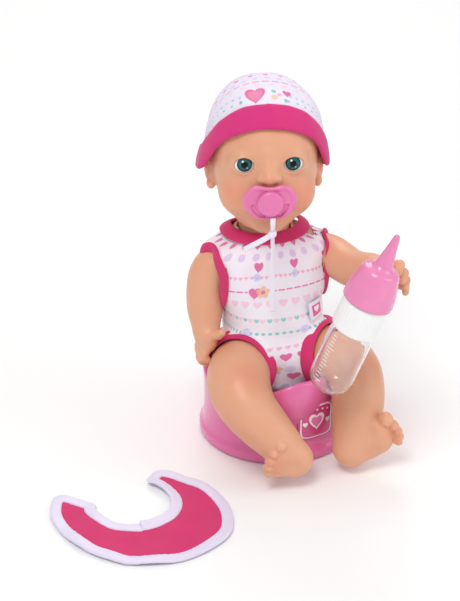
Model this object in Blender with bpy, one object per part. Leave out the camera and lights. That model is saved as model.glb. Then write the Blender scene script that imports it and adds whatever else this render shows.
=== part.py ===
"""A drink-and-wet baby doll with a sound module, on its potty, with cap, pacifier, bottle and bib.

Metres, +Z up. The doll faces -Y and +X is its left. The origin is the centre of the
potty's flat underside. Sizes below are in millimetres and pass through MM.
"""

import math

import bmesh
import bpy
from mathutils import Matrix, Vector

MM = 0.001
GAP = 0.35            # clearance between pieces that touch
SIDES = 20            # facets round a soft form

# Potty
POTTY_RADIUS = 42.5
POTTY_FOOT_RADIUS = 45.0
POTTY_HEIGHT = 50.0
POTTY_WALL = 3.6
POTTY_FLOOR = 6.0
POTTY_YAW = 13.0      # degrees, towards the doll's left
SADDLE = (-8.0, 81.0, 44.0)   # y, z and radius of the cut that lowers both sides
THIGH_CHANNEL = 21.0   # radius of the dips the thighs lie in

# Trunk sections: height, centre x, centre y, half width, half depth
TRUNK = (
    (26.0, -1.0, 1.0, 13.0, 11.0),
    (31.0, -1.0, 0.0, 24.0, 19.0),
    (42.0, -2.0, -2.0, 26.5, 25.0),
    (58.0, -3.0, -3.0, 27.0, 25.0),
    (75.0, -4.0, -2.0, 25.5, 22.5),
    (92.0, -5.0, 0.0, 23.6, 20.0),
    (108.0, -6.0, 2.0, 24.2, 18.5),
    (117.0, -6.5, 3.5, 23.5, 17.5),
    (124.0, -7.0, 4.5, 19.0, 16.5),
    (128.0, -7.0, 5.0, 17.0, 16.0),
)
SHELL = 2.4
ROMPER_INNER = 0.6
ROMPER_OUTER = 2.2

# Head sections above the neck pivot: height, centre y, half width, half depth
NECK = Vector((-7.0, 5.0, 131.0))
HEAD_YAW = -13.5       # degrees, towards the doll's right
HEAD = (
    (-1.0, 0.0, 13.4, 13.4),
    (5.0, -0.5, 13.6, 13.8),
    (9.0, -3.0, 17.0, 19.5),
    (14.0, -3.5, 22.0, 26.5),
    (21.0, -2.5, 26.4, 31.0),
    (30.0, -1.0, 28.6, 33.0),
    (42.0, 0.0, 29.2, 33.5),
    (53.0, 1.0, 29.6, 33.0),
    (62.0, 1.5, 28.0, 31.0),
    (70.0, 2.0, 23.5, 26.0),
    (77.0, 2.5, 15.5, 17.5),
    (80.5, 2.5, 6.5, 7.5),
)
HEAD_TOP = 81.5
EYE_RADIUS = 7.6
EYE = Vector((12.0, -23.9, 46.5))
MOUTH_HEIGHT = 29.5
MOUTH_RADIUS = 4.6
EAR = Vector((28.8, 1.0, 28.4))

# Limbs: shoulder and hip pivots, the axes they turn on, and the paths of their centre lines
SHOULDER_RIGHT = Vector((-25.4, 4.0, 109.0))
SHOULDER_LEFT = Vector((13.6, 3.0, 109.0))
SHOULDER_AXIS_RIGHT = Vector((-0.925, 0.38, 0.0)).normalized()
SHOULDER_AXIS_LEFT = Vector((0.985, 0.10, 0.0)).normalized()
HIP_RIGHT = Vector((-20.0, -11.0, 53.0))
HIP_LEFT = Vector((15.0, -11.0, 54.0))
HIP_AXIS_RIGHT = Vector((-0.80, -0.58, 0.16)).normalized()
HIP_AXIS_LEFT = Vector((0.80, -0.58, 0.16)).normalized()
ARM_HOLE = 7.5
ARMHOLE_RADIUS = 13.6      # of the romper's armhole bindings
LEG_HOLE = 12.0
LEG_BINDING_RADIUS = 16.4  # of the romper's leg bindings
BINDING = 1.15             # thickness of every binding, as a radius
ARM_RIGHT_PATH = (
    (-36.0, 6.4, 110.0, 6.6), (-41.0, 8.0, 110.6, 8.8), (-43.0, 8.0, 103.0, 9.4),
    (-43.6, 7.0, 94.0, 9.3), (-44.0, 5.0, 85.0, 8.8), (-44.4, 3.0, 77.0, 7.8),
    (-44.8, 2.2, 73.5, 6.7), (-45.4, 1.6, 69.0, 7.6), (-46.2, 1.0, 62.0, 7.8),
    (-46.8, 0.4, 55.5, 6.4), (-47.2, 0.0, 51.5, 3.6),
)
ARM_LEFT_PATH = (
    (24.6, 2.4, 110.0, 6.6), (30.0, -0.4, 111.4, 8.4), (32.6, -8.0, 113.6, 9.4),
    (33.6, -17.0, 115.0, 9.6), (34.6, -28.0, 117.0, 9.4), (36.2, -38.0, 119.4, 8.6),
    (38.0, -44.6, 121.0, 7.0), (40.0, -50.0, 122.0, 7.8), (43.4, -56.0, 122.6, 8.4),
    (47.0, -61.0, 122.6, 6.4), (49.0, -64.0, 122.4, 3.6),
)
LEG_RIGHT_PATH = (
    (-31.5, -19.5, 58.0, 10.4), (-35.6, -26.0, 60.0, 13.6), (-37.4, -33.5, 60.0, 15.0),
    (-35.0, -42.5, 55.0, 15.2), (-30.0, -50.6, 46.0, 14.6), (-24.5, -56.4, 36.0, 13.0),
    (-19.5, -61.0, 27.6, 11.0), (-16.0, -64.0, 21.0, 10.0), (-14.0, -67.5, 15.5, 8.4),
)
LEG_LEFT_PATH = (
    (25.6, -19.5, 58.6, 10.4), (29.8, -26.0, 60.6, 13.6), (32.0, -34.5, 60.6, 15.0),
    (32.0, -44.0, 55.4, 15.2), (30.0, -50.4, 45.6, 14.8), (28.0, -54.4, 36.0, 13.4),
    (26.6, -57.4, 27.0, 11.6), (25.8, -59.4, 20.0, 10.4), (25.6, -60.4, 14.5, 8.6),
)
FINGER_RADIUS = 2.5
TOE_RADIUS = 2.9


# ---------------------------------------------------------------- scene and helpers

def clear_scene():
    for old in list(bpy.data.objects):
        bpy.data.objects.remove(old, do_unlink=True)


def new_collection(name, hidden=False):
    made = bpy.data.collections.new(name)
    bpy.context.scene.collection.children.link(made)
    made.hide_render = hidden
    return made


clear_scene()
DOLL = new_collection("interactive_baby_doll")
CUTTERS = new_collection("cutters", hidden=True)


def material(name, colour, roughness=0.5, metallic=0.0, alpha=1.0):
    made = bpy.data.materials.new(name)
    made.use_nodes = True
    shader = made.node_tree.nodes["Principled BSDF"]
    shader.inputs["Base Color"].default_value = (*colour, 1.0)
    shader.inputs["Roughness"].default_value = roughness
    shader.inputs["Metallic"].default_value = metallic
    shader.inputs["Alpha"].default_value = alpha
    return made


VINYL = material("skin_vinyl", (0.86, 0.56, 0.42), 0.5)
PINK = material("pink_plastic", (0.86, 0.19, 0.47), 0.25)
JERSEY = material("printed_jersey", (0.90, 0.86, 0.93), 0.9)
MAGENTA = material("magenta_jersey", (0.74, 0.03, 0.25), 0.85)
WHITE = material("white_plastic", (0.92, 0.92, 0.94), 0.35)
CLEAR = material("clear_plastic", (0.90, 0.86, 0.92), 0.08, alpha=0.4)
SATIN = material("white_satin", (0.93, 0.90, 0.96), 0.4)
EYE_LOOK = material("eye_plastic", (0.10, 0.30, 0.30), 0.1)
BOARD = material("board_green", (0.03, 0.22, 0.09), 0.5)
STEEL = material("steel", (0.6, 0.6, 0.62), 0.3, metallic=1.0)
SOFT = material("soft_seal", (0.88, 0.86, 0.84), 0.5)


def finish(obj, look, collection=DOLL):
    """Puts a finished object in its collection, shaded smooth, with its material."""
    for owner in list(obj.users_collection):
        owner.objects.unlink(obj)
    collection.objects.link(obj)
    obj.data.materials.clear()
    obj.data.materials.append(look)
    if collection is CUTTERS:
        obj.hide_render = True
        obj.display_type = "WIRE"
    elif obj.type == "MESH":
        obj.data.shade_smooth()
        obj.data.set_sharp_from_angle(angle=math.radians(40))
    return obj


def mesh_object(name, build, look, collection=DOLL):
    """An object from a function that fills a bmesh in millimetres."""
    cage = bmesh.new()
    build(cage)
    bmesh.ops.remove_doubles(cage, verts=cage.verts, dist=0.002)
    bmesh.ops.recalc_face_normals(cage, faces=cage.faces)
    bmesh.ops.scale(cage, vec=(MM, MM, MM), verts=cage.verts)
    data = bpy.data.meshes.new(name)
    cage.to_mesh(data)
    cage.free()
    return finish(bpy.data.objects.new(name, data), look, collection)


def loft(cage, rings, closed=False):
    """Joins rings of points in order. A single point closes an end as a pole."""
    rows = [[cage.verts.new(point) for point in ring] for ring in rings]
    for first, second in zip(rows, rows[1:] + rows[:1] * closed):
        count = max(len(first), len(second))
        for i in range(count):
            j = (i + 1) % count
            corners = [first[i % len(first)], first[j % len(first)],
                       second[j % len(second)], second[i % len(second)]]
            unique = list(dict.fromkeys(corners))
            if len(unique) > 2:
                cage.faces.new(unique)
    for row in (rows[0], rows[-1]):
        if len(row) > 1 and not closed:
            cage.faces.new(row)


def soft_ring(height, x, y, wide, deep, offset=0.0, power=2.3, sides=SIDES):
    """A rounded-square ring at one height."""
    points = []
    for i in range(sides):
        angle = 2 * math.pi * i / sides
        c, s = math.cos(angle), math.sin(angle)
        reach = (abs(c) ** power + abs(s) ** power) ** (-1 / power)
        points.append((x + (wide + offset) * reach * c, y + (deep + offset) * reach * s, height))
    return points


def circle(centre, axis, radius, sides=SIDES):
    """A ring of points about an axis."""
    axis = Vector(axis).normalized()
    side = axis.orthogonal().normalized()
    other = axis.cross(side)
    return [tuple(Vector(centre) + radius * (math.cos(2 * math.pi * i / sides) * side
                                              + math.sin(2 * math.pi * i / sides) * other))
            for i in range(sides)]


def turned(name, profile, look, centre=(0, 0, 0), axis=(0, 0, 1), sides=24, collection=DOLL,
           closed=False):
    """A solid of revolution: profile lists (radius, distance along the axis).

    A closed profile makes a ring with a hole through it."""
    axis, centre = Vector(axis).normalized(), Vector(centre)

    def build(cage):
        rings = []
        for radius, along in profile:
            point = centre + along * axis
            rings.append([tuple(point)] if radius == 0 else circle(point, axis, radius, sides))
        loft(cage, rings, closed)
    return mesh_object(name, build, look, collection)


def box(name, low, high, look, collection=DOLL):
    low, high = Vector(low), Vector(high)

    def build(cage):
        bmesh.ops.create_cube(cage, size=1.0)
        bmesh.ops.scale(cage, vec=high - low, verts=cage.verts)
        bmesh.ops.translate(cage, vec=(low + high) / 2, verts=cage.verts)
    return mesh_object(name, build, look, collection)


def boolean(obj, cutter, operation="DIFFERENCE"):
    change = obj.modifiers.new(operation.lower(), "BOOLEAN")
    change.operation = operation
    change.object = cutter
    change.solver = "EXACT"
    # The bent limbs fold into themselves a little at the shoulder.
    change.use_self = operation == "UNION"
    return change


def rod(name, start, end, radius, look=SOFT, collection=CUTTERS, sides=20):
    start, end = Vector(start), Vector(end)
    return turned(name, [(radius, 0), (radius, (end - start).length)], look, start, end - start,
                  sides, collection)


def ring_tube(name, points, radius, look, smooth=2):
    """A closed tube along points, such as a binding or a seal."""
    curve = bpy.data.curves.new(name, "CURVE")
    curve.dimensions = "3D"
    curve.bevel_depth = radius * MM
    curve.bevel_resolution = smooth
    spline = curve.splines.new("POLY")
    spline.points.add(len(points) - 1)
    for slot, point in zip(spline.points, points):
        slot.co = (*(Vector(point) * MM), 1.0)
    spline.use_cyclic_u = True
    obj = bpy.data.objects.new(name, curve)
    DOLL.objects.link(obj)
    curve.materials.append(look)
    return obj


def interpolate(table, height):
    """Linear reading of a table whose first column is height."""
    for low, high in zip(table, table[1:]):
        if height <= high[0]:
            share = max(0.0, (height - low[0]) / (high[0] - low[0]))
            return [a + share * (b - a) for a, b in zip(low, high)]
    return list(table[-1])


# ---------------------------------------------------------------- potty

def potty():
    wall = POTTY_RADIUS
    inner = wall - POTTY_WALL
    shell = turned("potty_shell", [
        (0, 0), (POTTY_FOOT_RADIUS - 1.2, 0), (POTTY_FOOT_RADIUS, 1.2),
        (POTTY_FOOT_RADIUS, 5.4), (POTTY_FOOT_RADIUS - 1.4, 6.8), (wall + 0.4, 9.0), (wall - 0.4, 22.0),
        (wall, 36.0), (wall + 0.6, POTTY_HEIGHT - 1.4), (wall - 0.6, POTTY_HEIGHT),
        (inner + 0.6, POTTY_HEIGHT), (inner - 0.4, POTTY_HEIGHT - 1.4), (inner - 1.0, 34.0),
        (inner - 3.6, 16.0), (inner - 8.0, POTTY_FLOOR + 1.6),
        (inner - 13.0, POTTY_FLOOR), (0, POTTY_FLOOR)], PINK, sides=40)
    y, z, radius = SADDLE
    saddle = rod("saddle_cutter", (-60, y, z), (60, y, z), radius, sides=36)
    channels = [rod(f"thigh_channel_{side}", start, end, THIGH_CHANNEL, sides=32)
                for side, start, end in (("right", (-24, 0, 60), (-42, -70, 60)),
                                         ("left", (18, 0, 60), (36, -70, 60)))]
    boolean(shell, saddle)
    badge_reach = wall + 0.5 + GAP

    def badge(cage):
        rows = []
        for depth, inset in ((0.0, 0.0), (0.8, 0.0), (1.4, 0.8)):
            ring = []
            for corner, start in ((1, 0), (-1, 90), (-1, 180), (1, 270)):
                for step in range(4):
                    angle = math.radians(start + 30 * step)
                    x = corner * 7.6 + (3.2 - inset) * math.cos(angle)
                    up = (6.4 if start < 180 else -6.4) + (3.2 - inset) * math.sin(angle)
                    reach = badge_reach + depth
                    ring.append((x, -math.sqrt(reach * reach - x * x), 25.0 + up))
            rows.append(ring)
        loft(cage, rows)
        bmesh.ops.triangulate(cage, faces=cage.faces)
    plate = mesh_object("potty_badge", badge, PINK)
    # The cuts for the thighs stay square to the doll, while the potty is turned under it.
    for channel in channels:
        boolean(shell, channel)
    for piece in (shell, plate):
        piece.matrix_world = Matrix.Rotation(math.radians(POTTY_YAW), 4, "Z")


# ---------------------------------------------------------------- trunk and romper

def trunk_rings(offset, bottom, top):
    """Rings of the trunk grown by offset, from a pole below to an open edge above."""
    rings = []
    if bottom is not None:
        low = TRUNK[0]
        rings.append([(low[1], low[2], bottom)])
    for row in TRUNK:
        if row[0] > top:
            break
        rings.append(soft_ring(*row, offset=offset))
    last = interpolate(TRUNK, top)
    rings.append(soft_ring(top, *last[1:], offset=offset))
    return rings


def hole_cutters(tag, arm_radius, leg_radius, reach):
    """Rods along both shoulder and both hip axes, from inside the trunk outwards."""
    cutters = []
    for name, centre, axis, radius in (
            ("arm_right", SHOULDER_RIGHT, SHOULDER_AXIS_RIGHT, arm_radius),
            ("arm_left", SHOULDER_LEFT, SHOULDER_AXIS_LEFT, arm_radius),
            ("leg_right", HIP_RIGHT, HIP_AXIS_RIGHT, leg_radius),
            ("leg_left", HIP_LEFT, HIP_AXIS_LEFT, leg_radius)):
        cutters.append(rod(f"{tag}_{name}_hole", centre - 6.5 * axis, centre + reach * axis, radius))
    return cutters


def ring_on_trunk(centre, axis, radius, offset, sides=20):
    """A ring about an axis, each point moved along the axis until it is offset from the trunk."""
    def outside(point):
        row = interpolate(TRUNK, point.z)
        return (abs((point.x - row[1]) / (row[3] + offset)) ** 2.3
                + abs((point.y - row[2]) / (row[4] + offset)) ** 2.3) > 1
    ring = []
    for base in circle(centre, axis, radius, sides):
        near, far = -30.0, 40.0
        for _ in range(24):
            middle = (near + far) / 2
            if outside(Vector(base) + middle * axis):
                far = middle
            else:
                near = middle
        ring.append(Vector(base) + far * axis)
    return ring


def trunk():
    top = TRUNK[-1][0]
    split_y = 2.0

    def hollow(cage):
        outer = trunk_rings(0.0, TRUNK[0][0] - 1.6, top)
        inner = trunk_rings(-SHELL, TRUNK[0][0] + 1.6, top)
        loft(cage, outer + inner[::-1])
    cutters = hole_cutters("trunk", ARM_HOLE, LEG_HOLE, 30)
    spout = rod("spout_cutter", (-1.0, 1.0, 18.0), (-1.0, 1.0, 40.0), 2.6)
    door = box("door_cutter", (-20.0, 3.0, 68.0), (10.0, 40.0, 102.0), SOFT, CUTTERS)
    for name, low, high in (("torso_front", -60.0, split_y - GAP / 2),
                            ("torso_back", split_y + GAP / 2, 60.0)):
        shell = mesh_object(name, hollow, VINYL)
        half = box(name + "_side", (-60, low, 10), (60, high, 150), SOFT, CUTTERS)
        boolean(shell, half, "INTERSECT")
        for cutter in cutters:
            boolean(shell, cutter)
        boolean(shell, spout)
        if name == "torso_back":
            boolean(shell, door)
    turned("neck_ring", [(9.0, 0), (13.0, 0), (13.0, 2.4), (9.0, 2.4)], WHITE,
           NECK - Vector((0, 0, 5.2)), closed=True)


def romper():
    top = 125.0

    def cloth(cage):
        outer = trunk_rings(ROMPER_OUTER, TRUNK[0][0] - 3.8, top)
        inner = trunk_rings(ROMPER_INNER, TRUNK[0][0] - 2.3, top)
        loft(cage, outer + inner[::-1])
    body = mesh_object("romper_body", cloth, JERSEY)
    arm_hole, leg_hole = ARMHOLE_RADIUS + BINDING + 2.0, LEG_BINDING_RADIUS + BINDING + 0.6
    for cutter in hole_cutters("romper", arm_hole, leg_hole, 40):
        boolean(body, cutter)
    place = interpolate(TRUNK, top)
    collar = [(x, y, z + 1.9) for x, y, z in soft_ring(top, *place[1:], offset=ROMPER_OUTER - 0.6)]
    ring_tube("romper_collar", collar, 1.55, MAGENTA, 1)
    for name, centre, axis, radius in (
            ("armhole_binding_right", SHOULDER_RIGHT, SHOULDER_AXIS_RIGHT, ARMHOLE_RADIUS),
            ("armhole_binding_left", SHOULDER_LEFT, SHOULDER_AXIS_LEFT, ARMHOLE_RADIUS),
            ("leg_binding_right", HIP_RIGHT, HIP_AXIS_RIGHT, LEG_BINDING_RADIUS),
            ("leg_binding_left", HIP_LEFT, HIP_AXIS_LEFT, LEG_BINDING_RADIUS)):
        ring_tube(name, ring_on_trunk(centre, axis, radius, BINDING + GAP), BINDING, MAGENTA, 1)


def label():
    """A small woven tag sewn flat on the romper's left front."""
    centre_x, low, high, half = 12.0, 78.0, 88.0, 5.4

    def plate(cage):
        rows = []
        for offset in (ROMPER_OUTER + GAP, ROMPER_OUTER + GAP + 1.0):
            ring = []
            for side, height in ((-1, low), (0, low), (1, low), (1, high), (0, high), (-1, high)):
                row = interpolate(TRUNK, height)
                x = centre_x + side * half
                share = abs((x - row[1]) / (row[3] + offset)) ** 2.3
                ring.append((x, row[2] - (row[4] + offset + 0.3) * (1 - share) ** (1 / 2.3), height))
            rows.append(ring)
        loft(cage, rows)
        bmesh.ops.triangulate(cage, faces=cage.faces)
    mesh_object("romper_label", plate, SATIN)


# ---------------------------------------------------------------- inside the trunk

def workings():
    """Drinking tube, drain spout and the sound module behind the chest."""
    rod("drinking_tube", (-3.0, 3.4, 36.0), (-6.4, 3.4, 122.0), 2.2, SOFT, DOLL, 12)
    turned("drain_spout", [(1.2, 0), (2.3, 0), (2.3, 3.0), (4.2, 3.0), (4.2, 5.0), (1.2, 5.0)], WHITE,
           (-1.0, 1.0, 25.4), closed=True, sides=16)
    case_front, case_back = 7.0, 14.6
    shell = box("module_case", (-18.0, case_front, 69.0), (8.0, case_back, 99.4), WHITE)
    hollow = box("module_hollow", (-16.4, case_front + 1.6, 70.6), (6.4, case_back + 4, 97.8), SOFT, CUTTERS)
    boolean(shell, hollow)
    grille = rod("speaker_cutter", (-5.0, case_front - 3, 89.4), (-5.0, case_front + 4, 89.4), 6.2)
    boolean(shell, grille)
    box("circuit_board", (-16.0, case_back - 4.4, 71.0), (6.0, case_back - 3.2, 81.0), BOARD)
    turned("speaker", [(0, 0), (7.6, 0), (7.6, 2.8), (4.0, 4.2), (0, 4.2)], STEEL,
           (-5.0, case_front + 2.0, 89.4), (0, 1, 0))
    for i in range(3):
        x = -12.6 + 7.6 * i
        rod(f"button_cell_{i + 1}", (x, case_back - 2.8, 75.6), (x, case_back - 0.6, 75.6), 3.4, STEEL, DOLL, 16)
    box("battery_door", (-19.4, case_back + GAP, 68.6), (9.4, case_back + 1.6, 101.4), WHITE)
    turned("battery_door_screw", [(0, 0), (1.7, 0), (1.7, 0.8), (0, 0.8)], STEEL,
           (-5.0, case_back + 1.6 + GAP, 71.6), (0, 1, 0), 12)
    # The chest button stands under the cloth and the slide switch is at the back.
    turned("chest_button", [(0, 0), (4.6, 0), (4.6, 2.2), (3.0, 3.0), (0, 3.0)], PINK,
           (-5.0, -13.2, 88.0), (0, -1, 0))
    box("power_switch", (-12.4, case_back + 1.6 + GAP, 90.0), (-7.4, case_back + 2.9, 94.0), PINK)


# ---------------------------------------------------------------- head, cap, pacifier

HEAD_FRAME = Matrix.Translation(NECK) @ Matrix.Rotation(math.radians(HEAD_YAW), 4, "Z")


def in_head(point):
    return HEAD_FRAME @ Vector(point)


def head_ring(height, offset, sides=20):
    row = interpolate(HEAD, height)
    points = soft_ring(height, 0.0, row[1], row[2], row[3], offset, 2.15, sides)
    return [tuple(in_head(point)) for point in points]


def head():
    inner_offset = -2.6

    def shell(cage):
        outer = [head_ring(row[0], 0.0) for row in HEAD] + [[tuple(in_head((0, 2.5, HEAD_TOP)))]]
        inner = [head_ring(row[0], inner_offset) for row in HEAD[:-1]]
        inner.append([tuple(in_head((0, 2.5, HEAD[-1][0] - 1.6)))])
        loft(cage, outer + inner[::-1], closed=True)
    skull = mesh_object("head_shell", shell, VINYL)

    def ears(cage):
        for side in (-1, 1):
            spot = in_head((side * EAR.x, EAR.y, EAR.z))
            matrix = Matrix.Translation(spot) @ Matrix.Rotation(math.radians(HEAD_YAW), 4, "Z")
            bmesh.ops.create_icosphere(cage, subdivisions=2, radius=1.0,
                                       matrix=matrix @ Matrix.Diagonal((3.2, 4.8, 7.4, 1.0)))
    boolean(skull, mesh_object("ears_join", ears, VINYL, CUTTERS), "UNION")

    def nose(cage):
        matrix = HEAD_FRAME @ Matrix.Translation((0, -32.6, 41.5)) @ Matrix.Diagonal((5.6, 5.0, 4.4, 1.0))
        bmesh.ops.create_icosphere(cage, subdivisions=2, radius=1.0, matrix=matrix)
    boolean(skull, mesh_object("nose_join", nose, VINYL, CUTTERS), "UNION")
    clear = rod("head_inside", in_head((0, 0, -6)), in_head((0, 0, 4)), 10.4)
    boolean(skull, clear)
    mouth = rod("mouth_cutter", in_head((0, -20, MOUTH_HEIGHT)), in_head((0, -60, MOUTH_HEIGHT)),
                MOUTH_RADIUS)
    boolean(skull, mouth)
    for side, name in ((-1, "right"), (1, "left")):
        centre = in_head((side * EYE.x, EYE.y, EYE.z))

        def socket(cage, centre=centre):
            bmesh.ops.create_icosphere(cage, subdivisions=3, radius=EYE_RADIUS + GAP,
                                       matrix=Matrix.Translation(centre))
        boolean(skull, mesh_object(f"socket_{name}", socket, SOFT, CUTTERS))

        def ball(cage, centre=centre):
            bmesh.ops.create_uvsphere(cage, u_segments=16, v_segments=10, radius=EYE_RADIUS,
                                      matrix=Matrix.Translation(centre))
        mesh_object(f"eye_{name}", ball, EYE_LOOK)
    turned("mouth_funnel", [(2.0, 0), (3.4, 0), (3.4, 14.0), (2.0, 14.0)], SOFT,
           in_head((0, -11.0, MOUTH_HEIGHT)), HEAD_FRAME.to_3x3() @ Vector((0, 1, -0.5)), 14, closed=True)


def cap_heights(angle):
    """Heights of the band's lower and upper edge at an angle round the head. Angle 0 is the forehead."""
    return interpolate(CAP_BAND, abs((math.degrees(angle) + 180) % 360 - 180))[1:]


def cap_ring(share, offset, edge, lift=0.0, sides=28):
    """A ring of the cap: share runs from a line on the band, edge 0 its lower side and 1 its upper, to the top."""
    points = []
    for i in range(sides):
        angle = 2 * math.pi * i / sides
        band_low, band_high = cap_heights(angle)
        low = band_low + edge * (band_high - band_low) + lift
        # Even steps of arc: the cap closes like the top of a ball.
        height = low + (HEAD_TOP - 0.6 - low) * math.sin(share * math.pi / 2)
        row = interpolate(HEAD + ((HEAD_TOP, 2.5, 1.0, 1.0),), height)
        flare = CAP_FLARE * math.sin(angle) ** 2 * (1 - share) ** 2
        reach_x, reach_y = row[2] + offset + flare, row[3] + offset
        x, y = math.sin(angle), -math.cos(angle)
        scale = (abs(x) ** 2.15 + abs(y) ** 2.15) ** (-1 / 2.15)
        points.append(tuple(in_head((reach_x * x * scale, row[1] + reach_y * y * scale,
                                     height + offset * share))))
    return points


CAP_FLARE = 3.6       # how far the lower edge stands off over the ears
# The cap's band: degrees from the forehead, height of its lower edge, height of its upper edge
CAP_BAND = (
    (0, 66.6, 75.8), (15, 65.8, 75.4), (30, 63.4, 74.4), (45, 58.6, 71.6), (57, 51.6, 66.8),
    (77, 36.6, 53.6), (93, 32.0, 46.4), (130, 26.0, 38.0), (180, 23.0, 34.0),
)


def cap():
    steps = (0.0, 0.2, 0.42, 0.64, 0.84, 0.96)
    band_gap = 0.35

    def crown(cage):
        outer = [cap_ring(s, 2.8, 1) for s in steps]
        inner = [cap_ring(s, 1.4, 1) for s in steps]
        loft(cage, [[tuple(in_head((0, 2.5, HEAD_TOP + 1.4)))]] + inner[::-1] + outer
             + [[tuple(in_head((0, 2.5, HEAD_TOP + 3.4)))]], closed=False)
    mesh_object("cap_crown", crown, JERSEY)

    def band(cage):
        rows = []
        for offset, edge in ((1.9, 0), (3.7, 0), (3.7, 0.5), (3.7, 1), (1.9, 1), (1.9, 0.5)):
            rows.append(cap_ring(0.0, offset, edge, -band_gap * edge))
        loft(cage, rows, closed=True)
    mesh_object("cap_band", band, MAGENTA)


def pacifier():
    """Shield, button and teat, with a satin ribbon knotted under the button."""
    shield_y, thick = -38.4, 2.2
    turn = HEAD_FRAME

    def outline(depth, inset):
        ring = []
        for i in range(24):
            angle = 2 * math.pi * i / 24
            c, s = math.cos(angle), math.sin(angle)
            wide = 14.4 - inset - 2.4 * (s < 0) * s * s
            tall = (11.6 if s > 0 else 9.6) - inset
            notch = 2.6 * math.exp(-(c / 0.34) ** 2) * (s > 0)
            x = wide * math.copysign(abs(c) ** 0.8, c)
            z = tall * math.copysign(abs(s) ** 0.86, s) - notch
            y = shield_y + depth
            ring.append(tuple(turn @ Vector((x, y, MOUTH_HEIGHT - 0.5 + z))))
        return ring

    def shield(cage):
        loft(cage, [outline(0.7, 1.0), outline(0.2, 0.0), outline(-thick, 0.0), outline(-thick - 0.5, 1.2)])
    plate = mesh_object("pacifier_shield", shield, PINK)
    for side in (-1, 1):
        slot = rod(f"slot_{side}", in_head((side * 9.6, -60, MOUTH_HEIGHT - 4.2)),
                   in_head((side * 9.6, -20, MOUTH_HEIGHT - 4.2)), 1.3, sides=10)
        boolean(plate, slot)
    forward = turn.to_3x3() @ Vector((0, -1, 0))
    turned("pacifier_button", [(0, 0), (6.6, 0), (7.2, 0.8), (7.2, 3.0), (6.0, 4.0), (0, 4.4)], PINK,
           in_head((0, shield_y - thick - 0.5 - GAP, MOUTH_HEIGHT)), forward)
    turned("pacifier_teat", [(0, 0), (3.2, 0), (3.4, 5.0), (4.0, 9.0), (3.6, 13.0), (2.2, 15.6), (0, 16.4)],
           SOFT, in_head((0, shield_y + 0.7 + GAP, MOUTH_HEIGHT)), -forward, 12)


# The ribbon leaves the button's underside, passes the knot and hangs straight down.
RIBBON_WIDTH = 3.4
RIBBON_EXIT = (1.4, -43.2, 21.6)
KNOT = (1.2, -43.6, 12.0)
RIBBON_HANG = 56.0


def smooth_route(points, steps):
    """Points read from a Catmull-Rom curve through the route's own points."""
    route = [Vector(p) for p in points]
    ends = [2 * route[0] - route[1]] + route + [2 * route[-1] - route[-2]]
    read = []
    for i in range(1, len(ends) - 2):
        p0, p1, p2, p3 = ends[i - 1:i + 3]
        for step in range(steps):
            t = step / steps
            read.append(0.5 * (2 * p1 + (p2 - p0) * t + (2 * p0 - 5 * p1 + 4 * p2 - p3) * t * t
                               + (3 * p1 - p0 - 3 * p2 + p3) * t ** 3))
    return read + [route[-1]]


def ribbon():
    def strand(name, points, radius):
        curve = bpy.data.curves.new(name, "CURVE")
        curve.dimensions = "3D"
        curve.bevel_depth = radius * MM
        curve.bevel_resolution = 2
        curve.use_fill_caps = True
        read = smooth_route([in_head(p) for p in points], 3)
        spline = curve.splines.new("POLY")
        spline.points.add(len(read) - 1)
        for slot, point in zip(spline.points, read):
            slot.co = (*(point * MM), 1.0)
        obj = bpy.data.objects.new(name, curve)
        DOLL.objects.link(obj)
        curve.materials.append(SATIN)
    x, y, z = RIBBON_EXIT
    kx, ky, kz = KNOT
    strand("pacifier_ribbon", ((x, y, z - GAP), (x, y - 0.3, z - 3.5), (kx, ky, kz + 2.4 + GAP)), 1.3)
    strand("ribbon_long_tail", ((kx, ky, kz - 2.4 - GAP), (kx + 0.2, ky + 0.3, kz - 14),
                                (kx + 0.6, ky + 0.5, kz - 34), (kx + 0.4, ky + 0.4, kz - RIBBON_HANG)), 1.3)
    strand("ribbon_short_tail", ((kx - 2.4 - GAP, ky, kz - 1.2), (kx - 7, ky + 0.4, kz - 4.4),
                                 (kx - 11, ky + 1.0, kz - 8.6), (kx - 14, ky + 1.6, kz - 13.0)), 1.3)

    def knot(cage):
        bmesh.ops.create_icosphere(cage, subdivisions=2, radius=2.4,
                                   matrix=HEAD_FRAME @ Matrix.Translation(KNOT))
    mesh_object("ribbon_knot", knot, SATIN)


# ---------------------------------------------------------------- limbs

def path_rings(path, sides=16):
    """Round sections square to a path of (x, y, z, radius), closed by poles."""
    points = [Vector(p[:3]) for p in path]
    rings, side = [], None
    for i, point in enumerate(points):
        along = (points[min(i + 1, len(points) - 1)] - points[max(i - 1, 0)]).normalized()
        if side is None:
            side = along.orthogonal().normalized()
        side = (side - side.dot(along) * along).normalized()
        other = along.cross(side)
        rings.append([tuple(point + path[i][3] * (math.cos(2 * math.pi * k / sides) * side
                                                  + math.sin(2 * math.pi * k / sides) * other))
                      for k in range(sides)])
    first = points[0] - 0.5 * path[0][3] * (points[1] - points[0]).normalized()
    last = points[-1] + 0.6 * path[-1][3] * (points[-1] - points[-2]).normalized()
    return [[tuple(first)]] + rings + [[tuple(last)]]


def ball(name, centre, radii, along, across):
    """An ellipsoid cutter: radii along, across and through."""
    along = Vector(along).normalized()
    across = (Vector(across) - Vector(across).dot(along) * along).normalized()
    frame = Matrix((along, across, along.cross(across))).transposed().to_4x4()

    def build(cage):
        place = Matrix.Translation(centre) @ frame @ Matrix.Diagonal((*radii, 1.0))
        bmesh.ops.create_icosphere(cage, subdivisions=2, radius=1.0, matrix=place)
    return mesh_object(name, build, VINYL, CUTTERS)


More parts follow.
